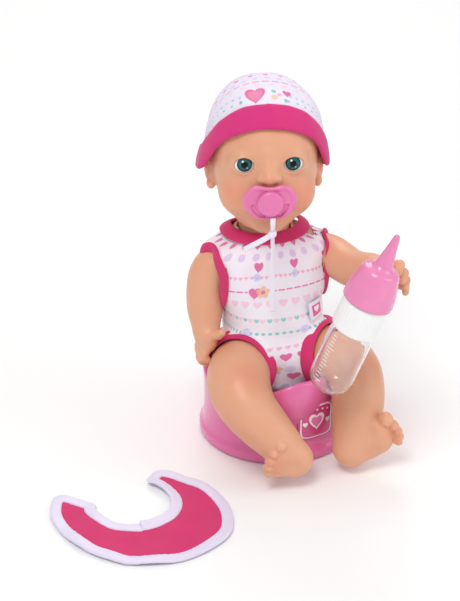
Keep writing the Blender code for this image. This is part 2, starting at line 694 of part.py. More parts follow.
def limb(name, path, pivot, axis, neck_radius, shell_reach):
    """A limb with the round neck and flange that snap into the trunk's hole."""
    obj = mesh_object(name, lambda cage: loft(cage, path_rings(path)), VINYL)
    neck = turned(name + "_neck", [
        (0, -6.0), (neck_radius + 1.5, -6.0), (neck_radius + 1.5, -4.4), (neck_radius - 0.5, -4.0),
        (neck_radius - 0.5, shell_reach), (0, shell_reach)], VINYL, pivot, axis, 24, CUTTERS)
    boolean(obj, neck, "UNION")
    return obj


def hand(obj, tag, wrist_end, along, across, thumb_at, thumb_along):
    """Four fingers side by side past the palm, and a thumb."""
    along, across = Vector(along).normalized(), Vector(across).normalized()
    for i in range(4):
        reach = (5.4, 6.4, 6.2, 5.0)[i]
        centre = Vector(wrist_end) + (i - 1.5) * 3.7 * across + reach * 0.45 * along
        boolean(obj, ball(f"{tag}_finger_{i}", centre, (reach, FINGER_RADIUS, FINGER_RADIUS), along, across),
                "UNION")
    boolean(obj, ball(f"{tag}_thumb", thumb_at, (5.6, 2.6, 2.6), thumb_along, across), "UNION")


def foot(obj, tag, heel, ball_centre, big_toe, little_toe):
    """A heel-to-ball form and five toes in a fan from the big toe to the little one."""
    heel, front = Vector(heel), Vector(ball_centre)
    big, little = Vector(big_toe), Vector(little_toe)
    spread, along = little - big, front - heel
    middle = (heel + front) / 2
    boolean(obj, ball(f"{tag}_heel", heel, (8.4, 8.6, 7.4), along, spread), "UNION")
    boolean(obj, ball(f"{tag}_arch", middle, (13.0, 9.4, 6.6), along, spread), "UNION")
    boolean(obj, ball(f"{tag}_ball", front, (7.6, 11.0, 6.2), along, spread), "UNION")
    for i in range(5):
        share = i / 4
        centre = big + share * spread + 1.6 * math.sin(math.pi * share) * along.normalized()
        radius = TOE_RADIUS + (1.0, 0.1, 0.0, -0.2, -0.3)[i]
        boolean(obj, ball(f"{tag}_toe_{i}", centre, (radius + 1.2, radius, radius), along, spread), "UNION")


def limbs():
    right = limb("arm_right", ARM_RIGHT_PATH, SHOULDER_RIGHT, SHOULDER_AXIS_RIGHT, ARM_HOLE, 12.6)
    hand(right, "right_hand", (-47.4, 0.2, 52.0), (-0.06, -0.06, -1), (0.1, 1, 0),
         (-45.6, -6.2, 60.0), (0.2, -0.5, -0.9))
    left = limb("arm_left", ARM_LEFT_PATH, SHOULDER_LEFT, SHOULDER_AXIS_LEFT, ARM_HOLE, 13.4)
    hand(left, "left_hand", (48.0, -62.6, 121.0), (0.7, -0.7, -0.1), (0.1, 0.1, -1),
         (39.0, -58.0, 129.6), (0.2, -0.9, 0.3))
    leg = limb("leg_right", LEG_RIGHT_PATH, HIP_RIGHT, HIP_AXIS_RIGHT, LEG_HOLE, 15.0)
    foot(leg, "right_foot", (-7.5, -71.0, 12.6), (-19.0, -69.6, 19.0), (-23.0, -71.0, 29.0),
         (-28.6, -67.6, 12.0))
    leg = limb("leg_left", LEG_LEFT_PATH, HIP_LEFT, HIP_AXIS_LEFT, LEG_HOLE, 15.0)
    foot(leg, "left_foot", (26.4, -59.0, 11.6), (35.6, -66.0, 24.0), (38.6, -70.0, 37.0),
         (45.6, -68.4, 20.6))


# ---------------------------------------------------------------- bottle and bib

BOTTLE_BASE = Vector((3.6, -68.4, 56.9))
BOTTLE_TOP = Vector((25.6, -77.8, 120.4))     # where the cap's shoulder starts
BOTTLE_RADIUS = 12.4


def bottle():
    axis = (BOTTLE_TOP - BOTTLE_BASE).normalized()
    r, wall = BOTTLE_RADIUS, 1.4
    turned("bottle_body", [
        (0, 0), (6.0, 0.4), (10.6, 3.4), (r, 8.4), (r, 38.6), (r - 2.0, 41.0), (r - 2.0, 56.0),
        (r - 2.0 - wall, 56.0), (r - 2.0 - wall, 40.0), (r - wall, 37.6), (r - wall, 8.8), (9.8, 4.6),
        (0, wall + 0.6)],
        CLEAR, BOTTLE_BASE, axis, 24)
    turned("bottle_collar", [(r - 2.0 + GAP, 42.0), (r + 0.3, 42.0), (r + 0.3, 55.4), (r - 2.0 + GAP, 55.4)],
           WHITE, BOTTLE_BASE, axis, 24, closed=True)
    turned("bottle_seal", [(r - 5.4, 56.0 + GAP), (r - 2.2, 56.0 + GAP), (r - 2.2, 57.6), (r - 5.4, 57.6)],
           SOFT, BOTTLE_BASE, axis, 20, closed=True)
    low = 57.6 + GAP
    turned("bottle_cap", [
        (r + 1.0, low), (r + 1.2, low + 1.0), (r + 0.8, low + 10.0), (r - 1.4, low + 14.6), (7.4, low + 19.6),
        (5.6, low + 22.6), (4.2, low + 27.0), (2.9, low + 34.0), (2.0, low + 43.0), (0, low + 44.2),
        (0, low + 41.0), (1.4, low + 32.0), (2.9, low + 23.0), (6.0, low + 17.4), (r - 2.8, low + 12.4),
        (r - 0.6, low + 9.0), (r - 0.6, low)][::-1], PINK, BOTTLE_BASE, axis, 24, closed=True)


# The bib is a U round BIB_CENTRE. Each row is an angle from +X in degrees and a reach:
# the outer edge from one end to the other, then the inner edge back.
BIB_CENTRE = Vector((-104.0, -60.0, 0.0))
BIB_OUTER = ((-209, 41), (-190, 44), (-160, 45), (-132, 49), (-105, 56), (-75, 61), (-45, 62),
             (-20, 55), (5, 47), (35, 40), (60, 35), (70, 33))
BIB_INNER = ((52, 23.5), (20, 22), (-10, 22.5), (-45, 23), (-80, 21), (-110, 20), (-145, 18.5),
             (-180, 19), (-212, 22))
BIB_BORDER = 6.4
BIB_THICKNESS = 1.6


def bib_outline(inset, steps=2):
    """The bib's closed outline, moved inwards by inset."""
    def edge(table):
        points = []
        for angle, reach in table:
            turn = math.radians(angle)
            points.append((BIB_CENTRE.x + reach * math.cos(turn), BIB_CENTRE.y + reach * math.sin(turn), 0))
        return smooth_route(points, steps)
    loop = edge(BIB_OUTER) + edge(BIB_INNER)
    moved = []
    for i, point in enumerate(loop):
        before, after = loop[i - 1], loop[(i + 1) % len(loop)]
        a, b = (point - before).normalized(), (after - point).normalized()
        normal_a, normal_b = Vector((-a.y, a.x, 0)), Vector((-b.y, b.x, 0))
        middle = (normal_a + normal_b).normalized()
        moved.append(point + inset / max(0.55, middle.dot(normal_a)) * middle)
    return moved


def bib():
    """A flat U of jersey with a satin border sewn round it."""
    def level(inset, height):
        return [(p.x, p.y, height) for p in bib_outline(inset)]

    def panel(cage):
        loft(cage, [level(BIB_BORDER + GAP, 0), level(BIB_BORDER + GAP, BIB_THICKNESS)])

    def border(cage):
        loft(cage, [level(0, 0), level(0, BIB_THICKNESS), level(BIB_BORDER, BIB_THICKNESS),
                    level(BIB_BORDER, 0)], closed=True)
    mesh_object("bib_panel", panel, MAGENTA)
    mesh_object("bib_border", border, SATIN)


def main():
    potty()
    trunk()
    romper()
    label()
    workings()
    head()
    cap()
    pacifier()
    ribbon()
    limbs()
    bottle()
    bib()


main()
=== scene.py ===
"""The baby doll's looks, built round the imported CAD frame. Metres, +Z up, the doll faces -Y."""
import math

import bmesh
import bpy
import numpy as np
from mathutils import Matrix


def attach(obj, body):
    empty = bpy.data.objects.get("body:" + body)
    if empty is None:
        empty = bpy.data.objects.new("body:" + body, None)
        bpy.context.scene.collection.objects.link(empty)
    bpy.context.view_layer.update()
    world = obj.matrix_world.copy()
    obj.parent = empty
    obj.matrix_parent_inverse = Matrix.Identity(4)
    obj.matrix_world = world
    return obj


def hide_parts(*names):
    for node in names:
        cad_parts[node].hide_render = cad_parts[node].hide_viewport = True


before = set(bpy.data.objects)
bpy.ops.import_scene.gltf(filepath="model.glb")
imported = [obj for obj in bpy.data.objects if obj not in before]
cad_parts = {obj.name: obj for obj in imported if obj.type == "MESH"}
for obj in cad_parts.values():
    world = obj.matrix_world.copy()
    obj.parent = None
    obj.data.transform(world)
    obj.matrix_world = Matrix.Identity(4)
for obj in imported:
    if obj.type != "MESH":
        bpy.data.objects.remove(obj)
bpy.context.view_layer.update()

import openvdb
from mathutils import Matrix, Vector

MM = 0.001

# The doll's main places, in millimetres, as the CAD has them.
NECK = np.array((-7.0, 5.0, 131.0))
HEAD_YAW = math.radians(-13.5)
BOTTLE_BASE = np.array((3.6, -68.4, 56.9))
BOTTLE_TOP = np.array((25.6, -77.8, 120.4))
BOTTLE_RADIUS = 12.4
BOTTLE_RISE = 5.0   # how far the shown bottle stands up its axis from BOTTLE_BASE
POTTY_YAW = math.radians(13.0)

# Camera
AZIMUTH, ELEVATION = math.radians(-17.0), math.radians(27.4)
DISTANCE = 1150.0
TARGET = np.array((-16.1, 39.9, 64.5))
LENS = 153.1


# ---------------------------------------------------------------- camera, light and floor

def studio():
    """A plain pale floor, soft studio light and the camera."""
    back = np.array((math.sin(AZIMUTH) * math.cos(ELEVATION), -math.cos(AZIMUTH) * math.cos(ELEVATION),
                     math.sin(ELEVATION)))
    eye = bpy.data.cameras.new("camera")
    camera = in_scene("camera", eye)
    camera.location = (TARGET + DISTANCE * back) * MM
    camera.rotation_euler = Vector(-back).to_track_quat("-Z", "Y").to_euler()
    eye.sensor_fit = "HORIZONTAL"
    eye.sensor_width = 36.0
    eye.lens = LENS
    eye.clip_start, eye.clip_end = 0.05, 20.0
    bpy.context.scene.camera = camera

    floor_mesh = bpy.data.meshes.new("floor")
    half = 4.0
    floor_mesh.from_pydata([(-half, -half, 0), (half, -half, 0), (half, half, 0), (-half, half, 0)], [],
                           [(0, 1, 2, 3)])
    floor = in_scene("floor", floor_mesh)
    floor.location.z = -0.0004   # just under the feet of the pieces that stand on it
    pale = bpy.data.materials.new("pale_floor")
    pale.use_nodes = True
    shader = pale.node_tree.nodes["Principled BSDF"]
    shader.inputs["Base Color"].default_value = (0.93, 0.93, 0.93, 1)
    shader.inputs["Roughness"].default_value = 0.9
    shader.inputs["Specular IOR Level"].default_value = 0.1
    floor_mesh.materials.append(pale)

    view = bpy.context.scene.view_settings
    view.view_transform = "Standard"
    view.look = "None"

    world = bpy.data.worlds.new("studio")
    bpy.context.scene.world = world
    world.use_nodes = True
    sky = world.node_tree.nodes["Background"]
    sky.inputs["Color"].default_value = (1.0, 1.0, 1.0, 1)
    sky.inputs["Strength"].default_value = 0.62

    aim = Vector((-0.01, -0.01, 0.11))
    for name, place, size, power, tint in (
            ("key", (-0.55, -0.75, 1.45), 0.7, 11.0, (1.0, 0.985, 0.96)),
            ("fill", (1.0, -0.7, 0.75), 0.9, 3.6, (0.97, 0.98, 1.0)),
            ("rim", (0.25, 1.1, 1.1), 0.8, 5.0, (1.0, 1.0, 1.0))):
        data = bpy.data.lights.new(name, "AREA")
        data.shape = "DISK"
        data.size = size
        data.energy = power
        data.color = tint
        lamp = in_scene(name, data)
        lamp.location = place
        lamp.rotation_euler = (aim - Vector(place)).to_track_quat("-Z", "Y").to_euler()


# ---------------------------------------------------------------- shader arithmetic

class Maths:
    """Writes shader arithmetic as Python arithmetic: every result is a socket of a Math node."""

    def __init__(self, tree, socket):
        self.tree, self.socket = tree, socket

    def _node(self, operation, *others, clamp=False):
        node = self.tree.nodes.new("ShaderNodeMath")
        node.operation, node.use_clamp = operation, clamp
        for slot, value in zip(node.inputs, (self, *others)):
            if isinstance(value, Maths):
                self.tree.links.new(value.socket, slot)
            else:
                slot.default_value = float(value)
        return Maths(self.tree, node.outputs[0])

    def __add__(self, other): return self._node("ADD", other)
    def __radd__(self, other): return self._node("ADD", other)
    def __sub__(self, other): return self._node("SUBTRACT", other)
    def __mul__(self, other): return self._node("MULTIPLY", other)
    def __rmul__(self, other): return self._node("MULTIPLY", other)
    def __truediv__(self, other): return self._node("DIVIDE", other)
    def __neg__(self): return self._node("MULTIPLY", -1)
    def power(self, other): return self._node("POWER", other)
    def absolute(self): return self._node("ABSOLUTE")
    def sine(self): return self._node("SINE")
    def root(self): return self._node("SQRT")
    def turn_from(self, other): return self._node("ARCTAN2", other)
    def arcsine(self): return self._node("ARCSINE")
    def wrap(self, length): return self._node("WRAP", length / 2, -length / 2)
    def most(self, other): return self._node("MAXIMUM", other)
    def least(self, other): return self._node("MINIMUM", other)
    def below(self, limit): return self._node("LESS_THAN", limit)

    def inside(self, soft):
        """1 where the value is negative, falling to 0 over a width of soft."""
        return (self * (-1.0 / soft) + 0.5)._node("ADD", 0.0, clamp=True)


class Look:
    """A node material with a Principled shader and helpers for what feeds it."""

    def __init__(self, name, colour=(0.8, 0.8, 0.8), roughness=0.5, **sockets):
        self.material = bpy.data.materials.new(name)
        self.material.use_nodes = True
        self.tree = self.material.node_tree
        self.shader = self.tree.nodes["Principled BSDF"]
        self.shader.inputs["Base Color"].default_value = (*colour, 1)
        self.shader.inputs["Roughness"].default_value = roughness
        for label, value in sockets.items():
            self.shader.inputs[label.replace("_", " ")].default_value = value
        self.colour_socket = None

    def place(self, scale=1000.0):
        """The surface point in the piece's own millimetres."""
        node = self.tree.nodes.new("ShaderNodeTexCoord")
        size = self.tree.nodes.new("ShaderNodeVectorMath")
        size.operation = "SCALE"
        size.inputs["Scale"].default_value = scale
        self.tree.links.new(node.outputs["Object"], size.inputs[0])
        return size.outputs[0]

    def xyz(self, vector):
        node = self.tree.nodes.new("ShaderNodeSeparateXYZ")
        self.tree.links.new(vector, node.inputs[0])
        return [Maths(self.tree, out) for out in node.outputs]

    def uv(self):
        """The UV map, which every cloth piece keeps in millimetres."""
        node = self.tree.nodes.new("ShaderNodeTexCoord")
        u, v, _ = self.xyz(node.outputs["UV"])
        return u, v

    def noise(self, vector, scale, detail=2.0):
        node = self.tree.nodes.new("ShaderNodeTexNoise")
        node.inputs["Scale"].default_value = scale
        node.inputs["Detail"].default_value = detail
        self.tree.links.new(vector, node.inputs["Vector"])
        return Maths(self.tree, node.outputs["Fac"])

    def mix(self, mask, first, second, blend="MIX"):
        """first where mask is 0 and second where it is 1. Each is a colour or a colour socket."""
        node = self.tree.nodes.new("ShaderNodeMix")
        node.data_type, node.blend_type = "RGBA", blend
        if isinstance(mask, Maths):
            self.tree.links.new(mask.socket, node.inputs["Factor"])
        else:
            node.inputs["Factor"].default_value = mask
        for slot, value in ((node.inputs[6], first), (node.inputs[7], second)):
            if isinstance(value, bpy.types.NodeSocket):
                self.tree.links.new(value, slot)
            else:
                slot.default_value = (*value, 1)
        return node.outputs[2]

    def stamp(self, ground, field, ink, strength=1.0, soft=0.35):
        """The ground with a form printed on it, with an edge this soft."""
        return self.mix(field.inside(soft) * strength, ground, ink)

    def paint(self, socket):
        self.tree.links.new(socket, self.shader.inputs["Base Color"])
        return self

    def drive(self, label, value):
        self.tree.links.new(value.socket, self.shader.inputs[label])
        return self

    def bump(self, height, depth, strength=1.0):
        """Relief of this depth in metres."""
        node = self.tree.nodes.new("ShaderNodeBump")
        node.inputs["Strength"].default_value = strength
        node.inputs["Distance"].default_value = depth
        self.tree.links.new(height.socket, node.inputs["Height"])
        self.tree.links.new(node.outputs["Normal"], self.shader.inputs["Normal"])
        return self


# ---------------------------------------------------------------- shapes from distance fields

def grid_of(low, high, step):
    """The points of a grid, as three open arrays."""
    axes = [np.arange(a, b + step, step) for a, b in zip(low, high)]
    return np.meshgrid(*axes, indexing="ij", sparse=True)


def smin(a, b, k):
    """The union of two fields with a fillet of about k."""
    h = np.clip(0.5 + 0.5 * (b - a) / k, 0, 1)
    return b * (1 - h) + a * h - k * h * (1 - h)


def smax(a, b, k):
    return -smin(-a, -b, k)


def ellipsoid(grid, centre, radii, turn=None):
    """A field that is close to a distance near the surface. turn is a 3x3 matrix from grid to shape."""
    d = [g - c for g, c in zip(grid, centre)]
    if turn is not None:
        d = [sum(turn[i][j] * d[j] for j in range(3)) for i in range(3)]
    near = np.sqrt(sum((x / r) ** 2 for x, r in zip(d, radii))) + 1e-9
    slope = np.sqrt(sum((x / r ** 2) ** 2 for x, r in zip(d, radii))) + 1e-9
    return near * (near - 1.0) / slope


def capsule(grid, a, b, ra, rb):
    """A rod with round ends that tapers from ra to rb."""
    a, b = np.asarray(a, float), np.asarray(b, float)
    along = b - a
    d = [g - c for g, c in zip(grid, a)]
    t = np.clip(sum(x * y for x, y in zip(d, along)) / (along @ along), 0, 1)
    gap = np.sqrt(sum((x - t * y) ** 2 for x, y in zip(d, along)))
    return gap - (ra + (rb - ra) * t)


def chain(grid, points, radii, k):
    """Capsules end to end, blended."""
    field = None
    for a, b, ra, rb in zip(points[:-1], points[1:], radii[:-1], radii[1:]):
        piece = capsule(grid, a, b, ra, rb)
        field = piece if field is None else smin(field, piece, k)
    return field


def skin_mesh(name, field, low, step):
    """The surface where the field is zero, as an object in metres."""
    volume = openvdb.FloatGrid(background=float(3 * step))
    volume.copyFromArray(np.clip(field, -3 * step, 3 * step).astype(np.float32))
    points, triangles, quads = volume.convertToPolygons(isovalue=0.0, adaptivity=0.0)
    points = (points * step + np.asarray(low, float)) * MM
    faces = [tuple(int(i) for i in face[::-1]) for kind in (quads, triangles) for face in kind]
    return mesh_object(name, points, faces)


def in_scene(name, data):
    """A new object in the scene."""
    obj = bpy.data.objects.new(name, data)
    bpy.context.scene.collection.objects.link(obj)
    return obj


def turn_out(mesh):
    """Turns the faces outward."""
    shape = bmesh.new()
    shape.from_mesh(mesh)
    bmesh.ops.recalc_face_normals(shape, faces=shape.faces)
    shape.to_mesh(mesh)
    shape.free()


def mesh_object(name, points, faces, smooth=True):
    """An object with this mesh, its faces turned outward."""
    mesh = bpy.data.meshes.new(name)
    mesh.from_pydata([tuple(map(float, p)) for p in points], [], faces)
    turn_out(mesh)
    mesh.polygons.foreach_set("use_smooth", [smooth] * len(mesh.polygons))
    return in_scene(name, mesh)


def sheet_grid(name, rows, closed_across=False, closed_along=False, uv=None, capped=False):
    """A mesh from rows of points in millimetres: rows run along, points across. uv gives each point's map."""
    rows = np.asarray(rows, float)
    n, m = rows.shape[:2]
    faces, keys = [], []
    for i in range(n if closed_along else n - 1):
        for j in range(m if closed_across else m - 1):
            square = ((i, j), (i, j + 1), (i + 1, j + 1), (i + 1, j))
            faces.append(tuple((a % n) * m + b % m for a, b in square))
            keys.append(square)
    if capped:
        faces.append(tuple(range(m))[::-1])
        faces.append(tuple((n - 1) * m + j for j in range(m)))
    mesh = bpy.data.meshes.new(name)
    mesh.from_pydata([tuple(p) for p in rows.reshape(-1, 3) * MM], [], faces)
    if uv is not None:
        layer = mesh.uv_layers.new(name="cloth")
        for face, square in zip(mesh.polygons, keys):
            for loop, (i, j) in zip(face.loop_indices, square):
                layer.data[loop].uv = uv(i, j)
    mesh.polygons.foreach_set("use_smooth", [True] * len(mesh.polygons))
    mesh.validate()
    turn_out(mesh)
    return in_scene(name, mesh)


def thicken(obj, thickness, offset):
    """Gives a sheet its thickness in millimetres."""
    solid = obj.modifiers.new("thickness", "SOLIDIFY")
    solid.thickness, solid.offset = thickness * MM, offset


def run_along(points):
    """The length from the first point to each point."""
    return np.concatenate([[0], np.cumsum(np.linalg.norm(np.diff(points, axis=0), axis=1))])


def smooth_path(points, count, closed=False):
    """A Catmull-Rom line through the points, evenly spaced."""
    p = np.asarray(points, float)
    p = np.vstack([p[-1], p, p[:2]]) if closed else np.vstack([2 * p[0] - p[1], p, 2 * p[-1] - p[-2]])
    fine = []
    for a, b, c, d in zip(p[:-3], p[1:-2], p[2:-1], p[3:]):
        for t in np.linspace(0, 1, 24, endpoint=False):
            fine.append(0.5 * (2 * b + (c - a) * t + (2 * a - 5 * b + 4 * c - d) * t ** 2
                               + (3 * b - a - 3 * c + d) * t ** 3))
    fine = np.array(fine + [p[1] if closed else p[-2]])
    run = run_along(fine)
    at = np.linspace(0, run[-1], count + 1 if closed else count)
    line = np.stack([np.interp(at, run, fine[:, k]) for k in range(3)], axis=1)
    return line[:-1] if closed else line


def tube(name, path, section, outward, closed=False, scale=None):
    """A section of (across, out) points swept along a path, with the outward direction at each point."""
    path = np.asarray(path, float)
    if closed:
        ahead = np.roll(path, -1, axis=0) - np.roll(path, 1, axis=0)
    else:
        ahead = np.gradient(path, axis=0)
    ahead /= np.linalg.norm(ahead, axis=1)[:, None]
    out = np.asarray(outward, float)
    out = out - (out * ahead).sum(axis=1)[:, None] * ahead
    out /= np.linalg.norm(out, axis=1)[:, None]
    side = np.cross(ahead, out)
    size = np.ones(len(path)) if scale is None else np.asarray(scale, float)
    section = np.asarray(section, float)
    rows = (path[:, None] + side[:, None] * section[None, :, :1] * size[:, None, None]
            + out[:, None] * section[None, :, 1:] * size[:, None, None])
    run, girth = (run_along(np.vstack([line, line[:1]])) for line in (path, section))
    return sheet_grid(name, rows, closed_across=True, closed_along=closed, capped=not closed,
                      uv=lambda i, j: (run[i], girth[j]))


def oval(half_width, half_height, count=20, power=2.0):
    """A closed section, squarer at a higher power."""
    t = np.linspace(0, 2 * np.pi, count, endpoint=False)
    round_off = np.stack([np.cos(t), np.sin(t)], axis=1)
    return np.array((half_width, half_height)) * np.sign(round_off) * np.abs(round_off) ** (2 / power)


def wear(obj, look, body, replaces=(), place=None):
    """Gives a piece its material, its body, the CAD nodes that it stands for and its own frame."""
    if place is not None:
        obj.matrix_world = place
    obj.data.materials.clear()
    obj.data.materials.append(look.material)
    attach(obj, body)
    if replaces:
        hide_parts(*replaces)
    return obj


# ---------------------------------------------------------------- the doll's forms

# Trunk sections: height, centre x, centre y, half width, half depth.
TRUNK = np.array((
    (23.0, -1.0, 1.0, 7.0, 6.0), (27.0, -1.0, 1.0, 16.0, 13.0), (32.0, -1.0, 0.0, 24.0, 19.5),
    (42.0, -2.0, -2.0, 26.5, 25.0), (58.0, -3.0, -3.0, 27.0, 25.0), (75.0, -4.0, -2.0, 25.9, 22.8),
    (86.0, -4.5, -0.6, 27.0, 21.4), (94.0, -4.8, 0.2, 30.4, 20.4), (104.0, -5.0, 1.5, 34.4, 19.0),
    (112.0, -5.2, 2.6, 35.8, 18.2), (117.0, -5.4, 3.3, 34.0, 17.5), (120.5, -5.8, 3.9, 29.5, 17.0),
    (123.5, -6.4, 4.4, 23.6, 16.4), (126.0, -7.0, 4.8, 19.0, 16.2),
    (129.0, -7.0, 5.0, 17.0, 16.0)))
# Head sections above the neck: height, centre y, half width, half depth.
HEAD = np.array((
    (-6.0, 0.0, 14.0, 14.0), (-2.0, 0.0, 14.2, 14.2), (1.6, -1.0, 14.6, 15.4), (5.0, -3.4, 16.0, 19.6),
    (9.0, -4.2, 18.4, 24.0), (14.0, -3.9, 21.4, 27.6), (21.0, -2.7, 25.3, 31.0), (30.0, -1.0, 28.3, 33.1),
    (42.0, 0.0, 29.3, 33.6), (53.0, 1.0, 29.6, 33.0), (62.0, 1.5, 28.0, 31.0), (70.0, 2.0, 23.6, 26.2),
    (77.0, 2.5, 15.6, 17.6), (80.5, 2.5, 6.6, 7.6), (81.5, 2.5, 0.6, 0.6)))
HEAD_TOP = float(HEAD[-1, 0])
EYE = np.array((13.0, -23.5, 46.5))
EYE_RADIUS = 7.6
EYE_OPEN_X, EYE_OPEN = 13.3, 5.2   # middle and half width of the opening between the lids
MOUTH_HEIGHT = 29.5
HEAD_POWER, TRUNK_POWER = 2.15, 2.3

HEAD_FRAME = Matrix.Translation(Vector(NECK * MM)) @ Matrix.Rotation(HEAD_YAW, 4, "Z")
HEAD_TURN = np.array(Matrix.Rotation(HEAD_YAW, 3, "Z"))


def from_head(points):
    """Points of the head's own frame in the doll's frame, in millimetres."""
    return np.asarray(points, float) @ HEAD_TURN.T + NECK


def section(table, height):
    """The table's columns at this height, rounded between rows."""
    height = np.asarray(height, float)
    return [monotone(table[:, 0], table[:, k], height) for k in range(1, table.shape[1])]


def monotone(x, y, at):
    """A smooth reading through points that never overshoots them."""
    step, rise = np.diff(x), np.diff(y) / np.diff(x)
    slope = np.zeros(len(x))
    same = rise[:-1] * rise[1:] > 0
    slope[1:-1][same] = (2 * rise[:-1] * rise[1:] / (rise[:-1] + rise[1:] + (~same) * 1e-9))[same]
    slope[0], slope[-1] = rise[0], rise[-1]
    i = np.clip(np.searchsorted(x, at) - 1, 0, len(step) - 1)
    t = np.clip((at - x[i]) / step[i], 0, 1)
    h = step[i]
    return (y[i] * (1 + 2 * t) * (1 - t) ** 2 + h * slope[i] * t * (1 - t) ** 2
            + y[i + 1] * t * t * (3 - 2 * t) - h * slope[i + 1] * t * t * (1 - t))


def tower(grid, table, power):
    """The field of a stack of rounded sections along Z."""
    x, y, z = grid
    columns = section(table, z)
    cx, cy, a, b = columns if len(columns) == 4 else (0.0, *columns)
    near = (np.abs((x - cx) / a) ** power + np.abs((y - cy) / b) ** power) ** (1 / power)
    field = (near - 1.0) * np.minimum(a, b)
    return np.maximum(field, np.maximum(table[0, 0] - z, z - table[-1, 0]))


def blur(field):
    """Rounds the small steps of a field."""
    for axis in range(3):
        places = np.arange(field.shape[axis])
        ahead = field.take(np.minimum(places + 1, places[-1]), axis)
        back = field.take(np.maximum(places - 1, 0), axis)
        field = 0.5 * field + 0.25 * (ahead + back)
    return field


# ---------------------------------------------------------------- head

def head():
    """Vinyl head with cheeks, nose, lips, ears and lids, on its neck."""
    step = 0.5
    low = np.array((-37.0, -42.0, -7.0))
    grid = grid_of(low, (37.0, 38.0, 85.0), step)
    x, y, z = grid
    skin = tower(grid, HEAD, HEAD_POWER)
    # Fuller cheeks and a small chin.
    for side in (-1, 1):
        skin = smin(skin, ellipsoid(grid, (side * 13.6, -20.0, 25.6), (12.0, 12.0, 11.4)), 6.0)
    skin = smin(skin, ellipsoid(grid, (0.0, -24.6, 11.0), (8.4, 7.2, 6.8)), 5.0)
    # Shallow sockets, so that the lids sit a little back from the bridge.
    for side in (-1, 1):
        skin = smax(skin, -ellipsoid(grid, (side * 14.0, -37.6, 45.4), (8.6, 6.8, 6.2)), 5.0)
    # Nose: bridge, tip and wings.
    bridge = ((0, -29.6, 52.0), (0, -32.4, 45.5), (0, -35.6, 41.0))
    skin = smin(skin, chain(grid, bridge, (2.6, 3.0, 3.7), 3.0), 5.0)
    for side in (-1, 1):
        skin = smin(skin, ellipsoid(grid, (side * 3.9, -33.8, 40.0), (3.1, 3.3, 2.7)), 2.0)
        skin = smax(skin, -ellipsoid(grid, (side * 2.3, -36.6, 37.6), (1.3, 1.7, 0.9)), 0.7)
    # Lips pursed round the teat.
    lips = ellipsoid(grid, (0.0, -32.0, MOUTH_HEIGHT), (8.6, 4.4, 6.0))
    skin = smin(skin, lips, 2.5)
    bore = np.sqrt(x ** 2 + (z - MOUTH_HEIGHT) ** 2) - 4.5
    skin = smax(skin, -np.maximum(bore, y + 20.0 + 0.0 * z), 1.6)
    skin = with_ears(grid, with_eyes(grid, skin))
    # Neck crease.
    crease = np.sqrt((np.sqrt(x ** 2 + y ** 2) - 14.8) ** 2 + (z - 0.2) ** 2)
    skin = smax(skin, -(crease - 0.9), 1.2)
    skin = blur(skin)
    return skin_mesh("head", skin, low, step)


def with_eyes(grid, skin):
    """The head with lids over the eyeballs, open in an almond."""
    x, y, z = grid
    for side in (-1, 1):
        ball = np.sqrt((x - side * EYE[0]) ** 2 + (y - EYE[1]) ** 2 + (z - EYE[2]) ** 2)
        skin = smin(skin, ball - (EYE_RADIUS + 1.15), 1.6)
        wide = (x - side * EYE_OPEN_X) / EYE_OPEN
        dome = np.sqrt(np.clip(1 - wide ** 2, 0, 1))
        almond = np.maximum(np.maximum(z - 46.4 - 4.0 * dome, 46.4 - z - 3.9 * dome),
                            (np.abs(wide) - 1) * EYE_OPEN) + 0.0 * y
        skin = smax(skin, -np.maximum(almond, y + 20.0), 0.7)
        skin = smax(skin, -(ball - EYE_RADIUS - 0.12), 0.25)
    return skin


def with_ears(grid, skin):
    """The head with ears: rim, bowl, ridge and lobe."""
    for side in (-1, 1):
        lean = np.array(Matrix.Rotation(side * math.radians(22), 3, "Z")
                        @ Matrix.Rotation(math.radians(-8), 3, "X"))
        outer = ellipsoid(grid, (side * 29.6, 0.6, 31.6), (3.0, 5.4, 8.6), lean)
        bowl = ellipsoid(grid, (side * 33.4, -1.6, 33.0), (3.3, 3.2, 5.6), lean)
        ridge = ellipsoid(grid, (side * 30.9, 0.6, 31.8), (1.5, 1.5, 3.6), lean)
        lobe = ellipsoid(grid, (side * 29.6, -1.6, 24.0), (2.4, 2.8, 3.2), lean)
        ear = smin(smin(smax(outer, -bowl, 1.2), ridge, 1.0), lobe, 1.5)
        skin = smin(skin, ear, 1.6)
    return skin


def skin_look(name, blush=()):
    """Peach vinyl with a soft sheen, and its place, its colour and the point's x, y and z. blush holds
    (x, y, z, radius, strength) spots in the piece's millimetres."""
    look = Look(name, (0.74, 0.37, 0.225), 0.42, Subsurface_Weight=0.12, Subsurface_Scale=0.004,
                Coat_Weight=0.06, Coat_Roughness=0.35)
    look.shader.inputs["Subsurface Radius"].default_value = (1.0, 0.45, 0.28)
    place = look.place()
    fine = look.noise(place, 0.05)
    colour = look.mix(fine, (0.70, 0.335, 0.20), (0.78, 0.41, 0.255))
    x, y, z = look.xyz(place)
    for cx, cy, cz, radius, strength in blush:
        gap = ((x - cx) * (x - cx) + (y - cy) * (y - cy) + (z - cz) * (z - cz)).root()
        colour = look.mix((gap - 0.62 * radius).inside(0.75 * radius) * strength, colour, (0.74, 0.16, 0.11))
    return look, place, colour, (x, y, z)


